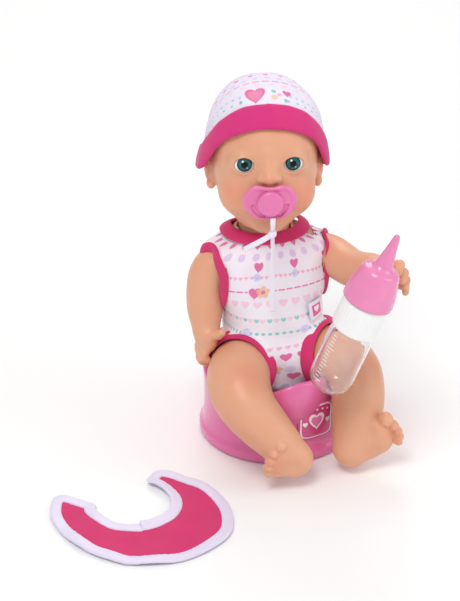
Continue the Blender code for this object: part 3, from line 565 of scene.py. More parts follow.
def face_look():
    """The head's vinyl with rosy cheeks, painted lid lines and painted shade in the creases over the eyes."""
    cheeks = [(side * 18.0, -28.5, 29.0, 12.0, 0.30) for side in (-1, 1)]
    rest = [(0.0, -38.0, 41.0, 5.4, 0.2), (0.0, -34.0, 17.0, 7.5, 0.22), (0.0, -33.0, 29.5, 8.5, 0.5)]
    rest += [(side * 31.5, -1.0, 31.0, 8.5, 0.30) for side in (-1, 1)]
    look, place, colour, (x, y, z) = skin_look("face_vinyl", cheeks + rest)
    front = (y + 18.0).below(0.0)
    across = x.absolute()
    # Painted shade: a darker arc in the faint crease over each eye.
    arch = (((across - 13.4) * (across - 13.4) * 0.9 + (z - 46.0) * (z - 46.0)).root() - 6.6).absolute() - 0.2
    crease_shade = arch.inside(0.9) * (z * -1 + 49.0).inside(3.0) * front
    colour = look.mix(crease_shade * 0.35, colour, (0.55, 0.27, 0.16))
    # Lash line along the upper lid and a faint one below.
    from_middle = across - EYE_OPEN_X
    inner = from_middle / EYE_OPEN
    dome = (inner * inner * -1 + 1.0).most(0.0).root()
    beside = from_middle.absolute().below(EYE_OPEN + 0.1)
    upper = ((z - 46.7 - dome * 4.1).absolute() - 0.35).inside(0.4) * beside
    lower = ((z - 46.2 + dome * 4.0).absolute() - 0.15).inside(0.5) * beside
    colour = look.mix(upper * front * 0.8, colour, (0.20, 0.09, 0.055))
    colour = look.mix(lower * front * 0.45, colour, (0.50, 0.24, 0.16))
    # Lips.
    ring = ((x * x * 0.62 + (z - MOUTH_HEIGHT) * (z - MOUTH_HEIGHT)).root() - 6.2).inside(1.4)
    colour = look.mix(ring * front * 0.75, colour, (0.80, 0.25, 0.24))
    look.paint(colour)
    look.bump(look.noise(place, 2.2, 3.0), 0.00004, 0.5)
    return look


def eye_look():
    """A glassy eye: dark teal iris with rays, black pupil, a painted white catch-light and a painted paler
    glow low in the iris, looking out along -Y.
    """
    look = Look("doll_eye", (0.95, 0.95, 0.94), 0.08, Coat_Weight=0.15, Coat_Roughness=0.02, IOR=1.25)
    place = look.place()
    x, y, z = look.xyz(place)
    front = y.below(0.0)
    gap = (x * x + z * z).root()
    rays = look.noise(place, 0.9, 4.0)
    iris = look.mix(rays, (0.008, 0.05, 0.06), (0.035, 0.19, 0.20))
    iris = look.mix((gap - 3.5).inside(0.8), (0.006, 0.02, 0.022), iris)
    colour = look.mix((gap - 4.15).inside(0.35) * front, (0.93, 0.93, 0.92), iris)
    colour = look.mix((gap - 1.85).inside(0.3) * front, colour, (0.002, 0.002, 0.002))
    # Painted highlight: a white catch-light dot above and to one side of the pupil.
    light = dot(x + 1.0, z - 1.9, 0.5).inside(0.3)
    colour = look.mix(light * front, colour, (1.0, 1.0, 1.0))
    # Painted light: a paler teal glow low in the iris, across from the catch-light.
    painted_iris_glow = dot(x - 1.3, z + 1.7, 0.45).inside(0.4)
    colour = look.mix(painted_iris_glow * front * 0.5, colour, (0.75, 0.9, 0.9))
    look.paint(colour)
    return look


def sphere(name, centre, radius, turn):
    mesh = bpy.data.meshes.new(name)
    shape = bmesh.new()
    bmesh.ops.create_uvsphere(shape, u_segments=48, v_segments=32, radius=radius * MM)
    shape.to_mesh(mesh)
    shape.free()
    mesh.polygons.foreach_set("use_smooth", [True] * len(mesh.polygons))
    obj = in_scene(name, mesh)
    obj.matrix_world = Matrix.Translation(Vector(centre) * MM) @ turn
    return obj


def face():
    """The head and its two eyes, which look a little down."""
    wear(head(), face_look(), "head", ["head_shell"], HEAD_FRAME)
    glass = eye_look()
    for side, name in ((-1, "right"), (1, "left")):
        spot = from_head((side * EYE[0], EYE[1], EYE[2]))
        gaze = Matrix.Rotation(HEAD_YAW, 4, "Z") @ Matrix.Rotation(math.radians(-4), 4, "X")
        ball = sphere(f"glass_eye_{name}", spot, EYE_RADIUS, gaze)
        wear(ball, glass, "head", [f"eye_{name}"])


# ---------------------------------------------------------------- plain looks

def plastic_look(name, colour, roughness=0.22, coat=0.5, deeper=None):
    """Moulded gloss plastic with a faint unevenness."""
    look = Look(name, colour, roughness, Coat_Weight=coat, Coat_Roughness=0.06, Subsurface_Weight=0.08,
                Subsurface_Scale=0.003)
    place = look.place()
    deeper = deeper or tuple(0.9 * c for c in colour)
    look.paint(look.mix(look.noise(place, 0.03), deeper, colour))
    look.drive("Roughness", look.noise(place, 0.2) * 0.08 + (roughness - 0.03))
    return look


def satin_look(name="satin", colour=(0.80, 0.75, 0.90), shade=(0.66, 0.59, 0.80), where=None):
    """Woven satin: fine threads across the strip and a soft sheen."""
    look = Look(name, colour, 0.38, Sheen_Weight=0.35, Sheen_Roughness=0.4)
    place = look.place()
    u = (where(*look.xyz(place)) if where else look.uv())[0]
    weave = (u * 7.0).sine() * 0.5 + 0.5
    look.paint(look.mix(weave * 0.25 + look.noise(place, 0.12) * 0.4, colour, shade))
    look.bump(weave, 0.00012, 0.5)
    return look


def steel_look():
    """Brushed steel for the speaker, the cells and the screw."""
    look = Look("brushed_steel", (0.62, 0.62, 0.63), 0.32, Metallic=1.0)
    place = look.place()
    z = look.xyz(place)[2]
    look.paint(look.mix(look.noise(place, 0.6), (0.5, 0.5, 0.52), (0.72, 0.72, 0.72)))
    look.bump((z * 9.0).sine(), 0.00002, 0.3)
    return look


def board_look():
    """Green board with copper tracks."""
    look = Look("circuit_board", (0.02, 0.18, 0.08), 0.4, Coat_Weight=0.4)
    x, _, z = look.xyz(look.place())
    tracks = ((x * 2.2).sine().absolute() - 0.85).inside(0.1) * ((z * 1.3).sine() * -1 + 0.2).inside(0.2)
    look.paint(look.mix(tracks * 0.6, (0.015, 0.14, 0.06), (0.55, 0.42, 0.12)))
    return look


def plain_cad(looks):
    """CAD nodes that no piece replaces keep their own shape and take a procedural look."""
    wanted = {
        "neck_ring": "white", "torso_front": "skin", "torso_back": "skin", "drinking_tube": "soft",
        "mouth_funnel": "soft", "drain_spout": "white", "module_case": "white", "battery_door": "white",
        "chest_button": "pink", "power_switch": "pink", "speaker": "steel", "circuit_board": "board",
        "battery_door_screw": "steel", "pacifier_teat": "soft", "bottle_seal": "soft",
        **{f"button_cell_{i}": "steel" for i in (1, 2, 3)}}
    for node, kind in wanted.items():
        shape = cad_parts[node]
        shape.data.materials.clear()
        shape.data.materials.append(looks[kind].material)


# ---------------------------------------------------------------- jersey

MAGENTA_DYE = (0.70, 0.029, 0.165)
CLOTH, CLOTH_SHADE = (0.82, 0.77, 0.88), (0.76, 0.70, 0.84)


def jersey_look(name, colour, shade, paint=None, sheen=0.12, where=None):
    """Knitted jersey. paint takes (look, u, v, ground) and gives the printed colour. u and v are millimetres
    on the cloth, from the UV map or from where(x, y, z)."""
    look = Look(name, colour, 0.9, Sheen_Weight=sheen, Sheen_Roughness=0.5)
    place = look.place()
    u, v = where(*look.xyz(place)) if where else look.uv()
    ground = look.mix(look.noise(place, 0.09, 3.0), shade, colour)
    ribs = (u * 8.0).sine() * ((v * 6.0).sine() * 0.5 + 0.5)
    ground = look.mix((ribs * 0.5 + 0.5) * 0.16, ground, tuple(0.72 * c for c in colour))
    if paint:
        ground = paint(look, u, v, ground)
    look.paint(ground)
    look.bump(ribs * 0.25 + look.noise(place, 1.1, 3.0) * 0.8, 0.00022, 0.55)
    return look


def heart(a, b, size):
    """The field of a heart of this width in millimetres, with its point down."""
    x, y = a.absolute() * (2 / size), b * (2 / size)
    lift = y * 1.15 - x.root() * 0.8 + 0.12
    return ((x * x + lift * lift).root() - 1.0) * (0.4 * size)


def dot(a, b, radius):
    return (a * a + b * b).root() - radius


def dash(a, b, length, width=0.42):
    return ((a.absolute() - length).most(0.0) * (a.absolute() - length).most(0.0) + b * b).root() - width


MAGENTA_INK, PINK_INK, PALE_INK = (0.72, 0.05, 0.30), (0.86, 0.33, 0.54), (0.90, 0.58, 0.72)
BLUE_INK, TEAL_INK, LILAC_INK = (0.36, 0.50, 0.80), (0.10, 0.52, 0.50), (0.62, 0.58, 0.86)
TAN_INK = (0.80, 0.55, 0.30)


def print_rows(rows):
    """A printer of repeated rows: (height, pitch, offset, form, size, ink, share of ink)."""
    def paint(look, u, v, ground):
        for height, pitch, offset, form, size, ink, strength in rows:
            a, b = (u - offset).wrap(pitch), v - height
            ground = look.stamp(ground, form(a, b, size), ink, strength)
        return ground
    return paint


# ---------------------------------------------------------------- cap

# Degrees from the forehead, height of the band's lower edge and of its upper edge.
CAP_BAND = np.array((
    (0.0, 66.6, 75.8), (15.0, 65.8, 75.4), (30.0, 63.4, 74.4), (45.0, 58.6, 71.6), (57.0, 51.6, 66.8),
    (77.0, 36.6, 53.6), (93.0, 32.0, 46.4), (130.0, 26.0, 38.0), (180.0, 23.0, 34.0)))


def cap_point(angle, height, offset):
    """A point of the cap round the head: angle 0 is the forehead and offset is outwards."""
    cy, a, b = section(HEAD, min(height, HEAD_TOP))
    x, y = math.sin(angle), -math.cos(angle)
    # Over the ears the band stands further out, and more on the doll's right.
    low_down = max(0.0, 1 - max(0.0, height - 32.0) / 26.0)
    flare = (3.6 if x > 0 else 6.0) * x ** 2 * low_down ** 1.5
    scale = (abs(x) ** HEAD_POWER + abs(y) ** HEAD_POWER) ** (-1 / HEAD_POWER)
    # Close to the top the cap stands off upwards more than outwards.
    lift = offset * max(0.0, (height - 62.0) / (HEAD_TOP - 62.0)) ** 1.4
    return np.array(((a + offset + flare) * x * scale, cy + (b + offset + flare) * y * scale, height + lift))


def band_heights(angle):
    """Heights of the band's lower and upper edge at this angle."""
    turn = abs((math.degrees(angle) + 180) % 360 - 180)
    return [float(monotone(CAP_BAND[:, 0], CAP_BAND[:, k], np.array(turn))) for k in (1, 2)]


def cap():
    """The jersey crown, gathered a little into a turned-up magenta band."""
    crown = crown_shell()
    look = jersey_look("cap_print", CLOTH, CLOTH_SHADE, cap_print, where=over_the_head)
    wear(crown, look, "cap", ["cap_crown"], HEAD_FRAME)
    look = jersey_look("band_jersey", MAGENTA_DYE, (0.60, 0.025, 0.22))
    wear(band_shell(), look, "cap", ["cap_band"], HEAD_FRAME)


def crown_shell():
    """31 small pleats at the band die out upwards, and five loose folds go round above them."""
    around, up = 168, 46
    rows = []
    for i in range(up + 1):
        share = (i / up) * 0.985
        gather = math.exp(-((i / up) / 0.16) ** 2)
        ring = []
        for j in range(around):
            angle = 2 * math.pi * j / around
            low = band_heights(angle)[1] - 3.0
            height = low + (HEAD_TOP - low) * math.sin(share * math.pi / 2)
            pleat = 0.32 * gather * math.sin(31 * angle + 1.7 * math.sin(3 * angle))
            slack = 0.45 * math.sin(5 * angle + 0.7) * math.sin(math.pi * min(1.0, share * 1.1)) ** 2
            ring.append(cap_point(angle, height, 2.3 + pleat + slack - 0.5 * gather))
        rows.append(ring)
    crown = sheet_grid("crown_shell", rows, closed_across=True)
    close_pole(crown, around, np.array((0.0, 2.5, HEAD_TOP + 2.5)))
    thicken(crown, 0.6, -1.0)
    return crown


def band_shell():
    """The band's closed section, swept round the head."""
    # (share of the band's height, offset): out along the turned-up face, over its top edge and down inside.
    face = ((0.0, 2.5), (0.03, 3.2), (0.10, 3.75), (0.25, 4.0), (0.45, 4.1), (0.65, 4.05), (0.82, 3.9),
            (0.93, 3.7), (0.985, 3.2), (1.0, 2.6), (0.96, 1.9), (0.75, 1.4), (0.5, 1.2), (0.25, 1.2),
            (0.06, 1.3), (0.01, 1.8))
    around, rows = 200, []
    for j in range(around):
        angle = 2 * math.pi * j / around
        low, high = band_heights(angle)
        wave = 0.18 * math.sin(9 * angle + 0.4) + 0.12 * math.sin(17 * angle)
        rows.append([cap_point(angle, low + share * (high - low), offset + (wave if offset > 2 else 0.0))
                     for share, offset in face])
    rows = np.array(rows)
    girth = np.concatenate([[0], np.cumsum(np.linalg.norm(np.diff(rows, axis=1), axis=2).mean(axis=0))])
    girth = np.append(girth, girth[-1] + 1.0)
    return sheet_grid("band_shell", rows, closed_across=True, closed_along=True,
                      uv=lambda i, j: (190.0 * i / around, girth[j]))


def close_pole(obj, around, peak):
    """Fans the last ring of a grid to a peak."""
    shape = bmesh.new()
    shape.from_mesh(obj.data)
    last = list(shape.verts)[-around:]
    top = shape.verts.new(Vector(peak) * MM)
    for a, b in zip(last, last[1:] + last[:1]):
        shape.faces.new((a, b, top)).smooth = True
    bmesh.ops.recalc_face_normals(shape, faces=shape.faces)
    shape.to_mesh(obj.data)
    shape.free()


CROWN_MIDDLE, CROWN_RADIUS = 48.0, 33.0   # of the ball that the crown's print is laid on


def over_the_head(x, y, z):
    """The crown's cloth: u runs from ear to ear, v from the forehead over the top to the back."""
    up = z - CROWN_MIDDLE
    reach = (x * x + y * y + up * up).root()
    return (x / reach).arcsine() * CROWN_RADIUS, up.turn_from(-y) * CROWN_RADIUS


def cap_print(look, u, v, ground):
    """Rows of hearts, dots and stitches, and one big heart over the forehead."""
    v = v - CROWN_RADIUS
    rows = ((2.2, 5.0, 1.2, dot, 0.75, TEAL_INK, 0.7), (6.2, 7.5, 1.0, dot, 0.9, BLUE_INK, 0.6),
            (6.2, 7.5, 4.7, dot, 0.8, TEAL_INK, 0.6), (12.6, 7.0, 2.4, heart, 2.6, PALE_INK, 0.85),
            (16.6, 5.0, 0.0, dash, 1.5, MAGENTA_INK, 0.75), (20.6, 6.0, 1.0, dot, 1.5, LILAC_INK, 0.75),
            (25.4, 7.5, 0.6, heart, 2.6, MAGENTA_INK, 0.8), (30.0, 5.0, 0.0, dash, 1.5, MAGENTA_INK, 0.7),
            (34.6, 10.0, 3.0, dot, 1.6, BLUE_INK, 0.6), (34.6, 10.0, 8.0, heart, 2.4, PINK_INK, 0.7),
            (39.6, 6.0, 2.0, dot, 0.9, TEAL_INK, 0.6), (44.2, 7.0, 2.4, heart, 2.6, PALE_INK, 0.85),
            (48.6, 5.0, 0.0, dash, 1.5, MAGENTA_INK, 0.75), (53.0, 6.0, 1.0, dot, 1.5, LILAC_INK, 0.75),
            (58.0, 7.5, 0.6, heart, 2.6, MAGENTA_INK, 0.8), (63.0, 6.0, 2.0, dot, 0.9, TEAL_INK, 0.6),
            (-4.0, 7.0, 0.4, heart, 2.4, PINK_INK, 0.8), (-9.0, 6.0, 2.0, dot, 0.9, TEAL_INK, 0.6),
            (-14.0, 7.0, 2.4, heart, 2.6, PALE_INK, 0.85))
    ground = print_rows(rows)(look, u, v, ground)
    ground = look.stamp(ground, dot((u + 1.0) / 2.2, v - 4.6, 5.6), CLOTH, soft=0.6)
    ground = look.stamp(ground, heart(u + 6.0, v - 4.8, 10.4), (0.72, 0.06, 0.26), 0.85, 0.4)
    ground = look.stamp(ground, heart(u + 6.0, v - 4.8, 7.6), (0.86, 0.36, 0.50), 0.4, 0.4)
    for x, y, size, ink in ((-3.6, 3.4, 1.7, TAN_INK), (-6.2, 5.4, 1.2, PINK_INK), (-3.4, 7.4, 1.3, TEAL_INK),
                            (13.6, 3.0, 0.9, TEAL_INK), (-9.6, 2.2, 1.2, TEAL_INK)):
        ground = look.stamp(ground, dot(u + x, v - y, size), ink, 0.8)
    return look.stamp(ground, heart(u - 10.4, v - 7.0, 4.6), MAGENTA_INK, 0.85)


# ---------------------------------------------------------------- romper

# Each armhole and each leg opening is a ring round the limb: its centre and the way that it faces.
ARMS = {"right": (np.array((-26.0, 0.6, 102.8)), np.array((-0.99, -0.06, 0.06))),
        "left": (np.array((14.0, 0.2, 102.8)), np.array((0.99, -0.08, 0.04)))}
ARM_RING, ARM_TALL = 12.4, 1.34   # an armhole's half width, and how much taller it is
LEGS = {"right": (np.array((-29.6, -21.4, 54.8)), np.array((-0.60, -0.76, 0.20))),
        "left": (np.array((23.0, -21.4, 56.0)), np.array((0.60, -0.76, 0.18)))}
LEG_RING = 18.0


def rod_field(grid, centre, axis, radius, start, tall=1.0):
    """An endless rod from start along the axis outwards, its section stretched upwards by tall."""
    axis, side, up = frame_of(axis)
    d = [g - c for g, c in zip(grid, centre)]
    along, across, rise = (sum(x * y for x, y in zip(d, way)) for way in (axis, side, up))
    return np.maximum(np.sqrt(across ** 2 + (rise / tall) ** 2) - radius, start - along)


def frame_of(axis):
    """The axis as a unit vector, with a level direction and an upward one across it."""
    axis = axis / np.linalg.norm(axis)
    side = np.cross(axis, (0, 0, 1.0))
    side /= np.linalg.norm(side)
    return axis, side, np.cross(side, axis)


def outside_trunk(point, offset):
    """Whether the point is further out than offset from the trunk's sections."""
    cx, cy, a, b = section(TRUNK, float(point[2]))
    return (abs((point[0] - cx) / (a + offset)) ** TRUNK_POWER
            + abs((point[1] - cy) / (b + offset)) ** TRUNK_POWER) > 1


def ring_on_trunk(centre, axis, radius, tall, offset, count=72):
    """A ring about an axis on the trunk's surface, and the outward direction at each point."""
    axis, side, up = frame_of(axis)
    ring = []
    for turn in np.linspace(0, 2 * np.pi, count, endpoint=False):
        base = centre + radius * (math.cos(turn) * side + tall * math.sin(turn) * up)
        near, far = -30.0, 40.0
        for _ in range(22):
            middle = (near + far) / 2
            if outside_trunk(base + middle * axis, offset):
                far = middle
            else:
                near = middle
        ring.append(base + far * axis)
    ring = smooth_path(ring, count, closed=True)
    out = []
    for p in ring:
        cx, cy, a, b = section(TRUNK, float(p[2]))
        normal = np.array(((p[0] - cx) / a ** 2, (p[1] - cy) / b ** 2, 0.0))
        normal /= np.linalg.norm(normal)
        out.append(normal * 0.8 + 0.45 * axis)
    return ring, out


def round_the_trunk(x, y, z):
    """The romper's cloth: u runs round the body from the middle of the front. v is the height, and goes on
    over the shoulders."""
    cx, cy, a, b = TRUNK[TRUNK[:, 3].argmax(), 1:]   # the widest section, at the shoulders
    reach = ((x - cx) * (x - cx) * (1 / a ** 2) + (y - cy) * (y - cy) * (1 / b ** 2)).root()
    shoulder = ((z - 113.0) * (1 / 6.0)).most(0.0).least(1.0)
    rise = (reach * -1 + 0.95).most(0.0) * shoulder * 16.0
    return ((x + 4.6) * (1 / 33.0)).turn_from((y + 0.5) * (-1 / 20.0)) * 30.0, z + rise


def romper_print(look, u, v, ground):
    """Rows of hearts, dots and stitches, and a heart with a flower in two places."""
    rows = ((124.6, 9.6, 3.4, heart, 4.6, MAGENTA_INK, 0.8), (118.4, 8.2, 1.2, dot, 2.3, PALE_INK, 0.8),
            (118.4, 8.2, 1.2, dot, 1.8, LILAC_INK, 0.8),
            (112.4, 22.0, 9.0, heart, 5.6, MAGENTA_INK, 0.85),
            (107.0, 2.7, 0.0, heart, 2.0, PINK_INK, 0.75), (107.4, 22.0, 8.6, dot, 2.2, BLUE_INK, 0.5),
            (99.4, 4.3, 0.0, dash, 1.4, MAGENTA_INK, 0.85), (91.6, 6.2, 0.4, heart, 4.4, PALE_INK, 0.9),
            (82.4, 6.0, 0.0, heart, 2.4, TEAL_INK, 0.7), (82.4, 6.0, 3.0, heart, 2.6, PALE_INK, 0.9),
            (75.0, 2.9, 0.0, dot, 0.85, TEAL_INK, 0.75), (75.4, 26.0, 9.0, dot, 2.3, LILAC_INK, 0.8),
            (66.6, 3.4, 1.0, heart, 2.2, PINK_INK, 0.7), (61.0, 6.6, 0.0, heart, 4.6, MAGENTA_INK, 0.85),
            (53.6, 8.2, 1.6, dot, 2.2, LILAC_INK, 0.7), (48.0, 9.0, 3.0, heart, 4.8, MAGENTA_INK, 0.85),
            (41.6, 7.6, 0.0, dot, 1.9, BLUE_INK, 0.6), (36.4, 4.3, 0.0, dash, 1.4, MAGENTA_INK, 0.7))
    ground = print_rows(rows)(look, u, v, ground)
    for x, y, span in ((-12.0, 98.6, 1.0), (-6.4, 53.0, 0.9)):
        across, up = u - x, v - y
        ground = look.stamp(ground, dot(across, up, 5.4 * span), CLOTH, soft=0.7)
        ground = look.stamp(ground, heart(across + 1.8, up + 0.6, 6.2 * span), (0.74, 0.07, 0.28), 0.85, 0.4)
        for turn in 0.3 + 2 * math.pi / 5 * np.arange(5):
            px, py = 2.2 * math.cos(turn), 2.2 * math.sin(turn)
            petal = dot(across - 2.4 - px * span, up - 0.4 - py * span, 1.35 * span)
            ground = look.stamp(ground, petal, (0.80, 0.50, 0.30), 0.85)
        ground = look.stamp(ground, dot(across - 2.4, up - 0.4, 1.1), (0.72, 0.12, 0.30), 0.9, 0.3)
    return ground


def trunk_grid():
    step = 0.6
    low = np.array((-40.0, -36.0, 18.0))
    return low, grid_of(low, (34.0, 36.0, 133.0), step), step


def romper():
    """The printed cloth over the trunk and the sleeves round the thighs, open at the arms, legs and neck."""
    low, grid, step = trunk_grid()
    x, y, z = grid
    body = tower(grid, TRUNK, TRUNK_POWER)
    # A short sleeve round each thigh.
    for centre, axis in LEGS.values():
        axis = axis / np.linalg.norm(axis)
        body = smin(body, capsule(grid, centre - 14.0 * axis, centre + 6.0 * axis, 17.0, LEG_RING - 0.6), 4.0)
    # Slack in the cloth: soft folds across the belly and from the leg openings.
    slack = (0.55 * np.sin(z * 0.33 + 0.10 * x) * np.exp(-((z - 70.0) / 16.0) ** 2)
             + 0.75 * np.sin(z * 0.24 + 0.22 * x + 1.0) * np.exp(-((z - 52.0) / 12.0) ** 2)
             + 0.5 * np.sin(0.45 * x - 0.16 * z) * np.exp(-((z - 112.0) / 9.0) ** 2))
    ease, thickness = 1.7, 1.3
    cloth = body - ease - slack * 0.9
    # A faint tuck in front of each armhole.
    for centre, axis in ARMS.values():
        fold = np.sqrt((x - centre[0] - 4 * axis[0]) ** 2 + (z - centre[2] + 3) ** 2)
        cloth = cloth - 0.25 * np.exp(-((fold - 21.0) / 2.2) ** 2) * (y < 0)
    shell = np.maximum(cloth, -(cloth + thickness))
    # Open at the arms, at the end of each sleeve and inside it, and at the neck.
    for centre, axis in ARMS.values():
        shell = np.maximum(shell, -rod_field(grid, centre, axis, ARM_RING + 0.2, -4.0, ARM_TALL))
    for centre, axis in LEGS.values():
        shell = np.maximum(shell, -rod_field(grid, centre, axis, LEG_RING + 1.6, 0.0))
        shell = np.maximum(shell, -rod_field(grid, centre, axis, LEG_RING - 1.6, -9.0))
    shell = blur(np.maximum(shell, z - 127.0))
    look = jersey_look("romper_print", (0.89, 0.86, 0.92), (0.84, 0.79, 0.90), romper_print,
                       where=round_the_trunk)
    wear(skin_mesh("romper_cloth", shell, low, step), look, "torso", ["romper_body"])
    bindings()


def bindings():
    """Magenta jersey folded over each edge of the romper."""
    dye = jersey_look("romper_binding", MAGENTA_DYE, tuple(0.8 * c for c in MAGENTA_DYE))
    flat = oval(2.9, 1.05, 18, 2.6)
    for side, (centre, axis) in ARMS.items():
        ring, out = ring_on_trunk(centre, axis, ARM_RING, ARM_TALL, 2.6)
        wear(tube(f"armhole_{side}", ring, flat, out, closed=True), dye, "torso",
             [f"armhole_binding_{side}"])
    for side, (centre, axis) in LEGS.items():
        axis, across, up = frame_of(axis)
        turns = np.linspace(0, 2 * np.pi, 90, endpoint=False)[:, None]
        out = np.cos(turns) * across + np.sin(turns) * up
        ring = centre - 1.5 * axis + (LEG_RING + 0.8) * out
        out = 0.86 * out + 0.5 * axis
        wear(tube(f"leg_opening_{side}", ring, oval(3.7, 1.1, 18, 2.6), out, closed=True), dye, "torso",
             [f"leg_binding_{side}"])
    cx, cy, a, b = section(TRUNK, 124.6)
    turns = np.linspace(0, 2 * np.pi, 96, endpoint=False)
    c, s = np.cos(turns), np.sin(turns)
    edge = oval(a + 0.8, b + 0.2, len(turns), TRUNK_POWER) + (cx, cy)
    neck = np.column_stack([edge, 128.2 + 0.8 * np.cos(2 * turns) - 1.4 * np.maximum(s, 0)])
    out = np.stack([c * 0.55, s * 0.55, np.full(len(c), 0.83)], axis=1)
    wear(tube("neck_opening", neck, oval(3.8, 1.1, 20, 2.6), out, closed=True), dye, "torso",
         ["romper_collar"])


def trunk_skin(skin):
    """The vinyl trunk: a hollow shell whose top closes in to the neck."""
    low, grid, step = trunk_grid()
    x, y, z = grid
    body = smax(tower(grid, TRUNK, TRUNK_POWER) + 0.4, z - 128.6, 3.0)
    yoke = np.sqrt(((x - NECK[0]) / 1.12) ** 2 + (y - NECK[1]) ** 2)
    body = smin(body, smax(yoke - 15.4, np.abs(z - 125.4) - 3.0, 2.0), 0.6)
    shell = smax(body, -(body + 2.2), 0.3)
    # Open at the neck, at each limb and at the battery door in the back, and split into chest and back.
    neck = np.sqrt((x - NECK[0]) ** 2 + (y - NECK[1]) ** 2)
    shell = np.maximum(shell, -np.maximum(neck - 15.0, 124.0 - z))
    for centre, axis in ARMS.values():
        shell = np.maximum(shell, -rod_field(grid, centre, axis, 10.5, -7.0))
    for centre, axis in LEGS.values():
        shell = np.maximum(shell, -rod_field(grid, centre, axis, 12.0, -7.0))
    door = np.maximum(np.maximum(np.abs(x + 5.0) - 15.0, 3.0 - y), np.abs(z - 85.0) - 17.0)
    shell = np.maximum(shell, -door)
    for end, half in (("front", y - 1.85), ("back", 2.15 - y)):
        wear(skin_mesh(f"trunk_{end}", np.maximum(shell, half + 0.0 * x), low, step), skin, "torso",
             [f"torso_{end}"])


def label():
    """A woven tag on the romper's left front, with a heart in a soft square."""
    look = satin_look("label_weave", (0.84, 0.80, 0.90), (0.74, 0.68, 0.84))
    width, height, steps_x, steps_z = 9.8, 10.8, 12, 14
    stand = 3.1   # how far the tag stands off the trunk
    rows = []
    for i in range(steps_z + 1):
        up = i / steps_z
        ring = []
        for j in range(steps_x + 1):
            side = j / steps_x - 0.5
            x = 16.0 + side * width - 1.2 * (up - 0.5)
            z = 79.0 + height * up + side
            cx, cy, a, b = section(TRUNK, z)
            share = abs((x - cx) / (a + stand)) ** TRUNK_POWER
            y = cy - (b + stand) * (1 - share) ** (1 / TRUNK_POWER) - 0.5 * math.sin(up * math.pi) ** 2
            ring.append((x, y - 0.25, z))
        rows.append(ring)
    tag = sheet_grid("romper_tag", rows,
                     uv=lambda i, j: (width * (j / steps_x - 0.5), height * (i / steps_z - 0.5)))
    thicken(tag, 0.5, 0.0)
    u, v = look.uv()
    ground = look.shader.inputs["Base Color"].links[0].from_socket
    square = (u.absolute() - 3.0).most(v.absolute() - 3.2)
    ground = look.stamp(ground, square, MAGENTA_INK, soft=0.3)
    ground = look.stamp(ground, heart(u, v - 0.2, 3.6), (0.90, 0.80, 0.90), soft=0.3)
    look.paint(ground)
    wear(tag, look, "torso", ["romper_label"])


# ---------------------------------------------------------------- limbs

def limb(node, path, ends, shape, skin):
    """A vinyl limb along (x, y, z, radius) points. shape(grid, field) adds its hand or foot, which reaches
    out to the points in ends."""
    step, pad = 0.55, 4.0
    path = np.asarray(path, float)
    cloud = np.vstack([path[:, :3], ends])
    low = cloud.min(axis=0) - path[:, 3].max() - pad
    high = cloud.max(axis=0) + path[:, 3].max() + pad
    grid = grid_of(low, high, step)
    line = smooth_path(path[:, :3], 2 * len(path))
    run = np.linspace(0, 1, len(line))
    knots = run_along(path[:, :3])
    radii = monotone(knots / knots[-1], path[:, 3], run)
    field = shape(grid, chain(grid, line, radii, 1.2))
    wear(skin_mesh(f"{node}_skin", blur(field), low, step), skin, node, [node])


def limb_look(name, blush):
    """The limbs' vinyl, rosy in places and very slightly uneven."""
    look, place, colour, _ = skin_look(name, blush)
    return look.paint(colour).bump(look.noise(place, 1.8, 3.0), 0.00004, 0.5)


def digits(grid, field, chains, k):
    """Fingers or toes: each is a list of points and radii."""
    for points, radii in chains:
        field = smin(field, chain(grid, points, radii, 0.8), k)
    return field


# Each limb is a line of (x, y, z, radius) from inside the trunk to the wrist or ankle.
ARM_RIGHT = (
    (-25.0, 4.0, 108.0, 8.5), (-30.0, 4.6, 108.0, 10.4), (-35.6, 5.0, 106.5, 11.2), (-39.4, 4.6, 101.0, 11.1),
    (-41.4, 3.4, 92.6, 10.6), (-42.6, 1.0, 85.4, 10.0), (-43.4, -2.2, 79.4, 8.9), (-43.9, -4.8, 75.8, 7.6),
    (-44.3, -6.8, 72.6, 7.4), (-44.6, -8.4, 70.0, 6.6))
ARM_LEFT = (
    (13.0, 3.0, 108.0, 8.5), (19.0, 3.0, 108.4, 10.2), (25.4, 1.2, 108.8, 10.6), (30.4, -3.6, 108.4, 10.7),
    (33.4, -12.0, 107.6, 10.6), (35.4, -22.0, 108.2, 10.3), (37.8, -33.0, 111.4, 9.7),
    (40.0, -42.0, 115.8, 8.7), (41.4, -47.6, 118.2, 7.5), (42.8, -52.0, 118.8, 7.3),
    (44.0, -55.6, 118.8, 6.6))
PALM_RIGHT = np.array((-44.8, -9.4, 69.0))
PALM_LEFT = np.array((44.0, -55.4, 118.8))


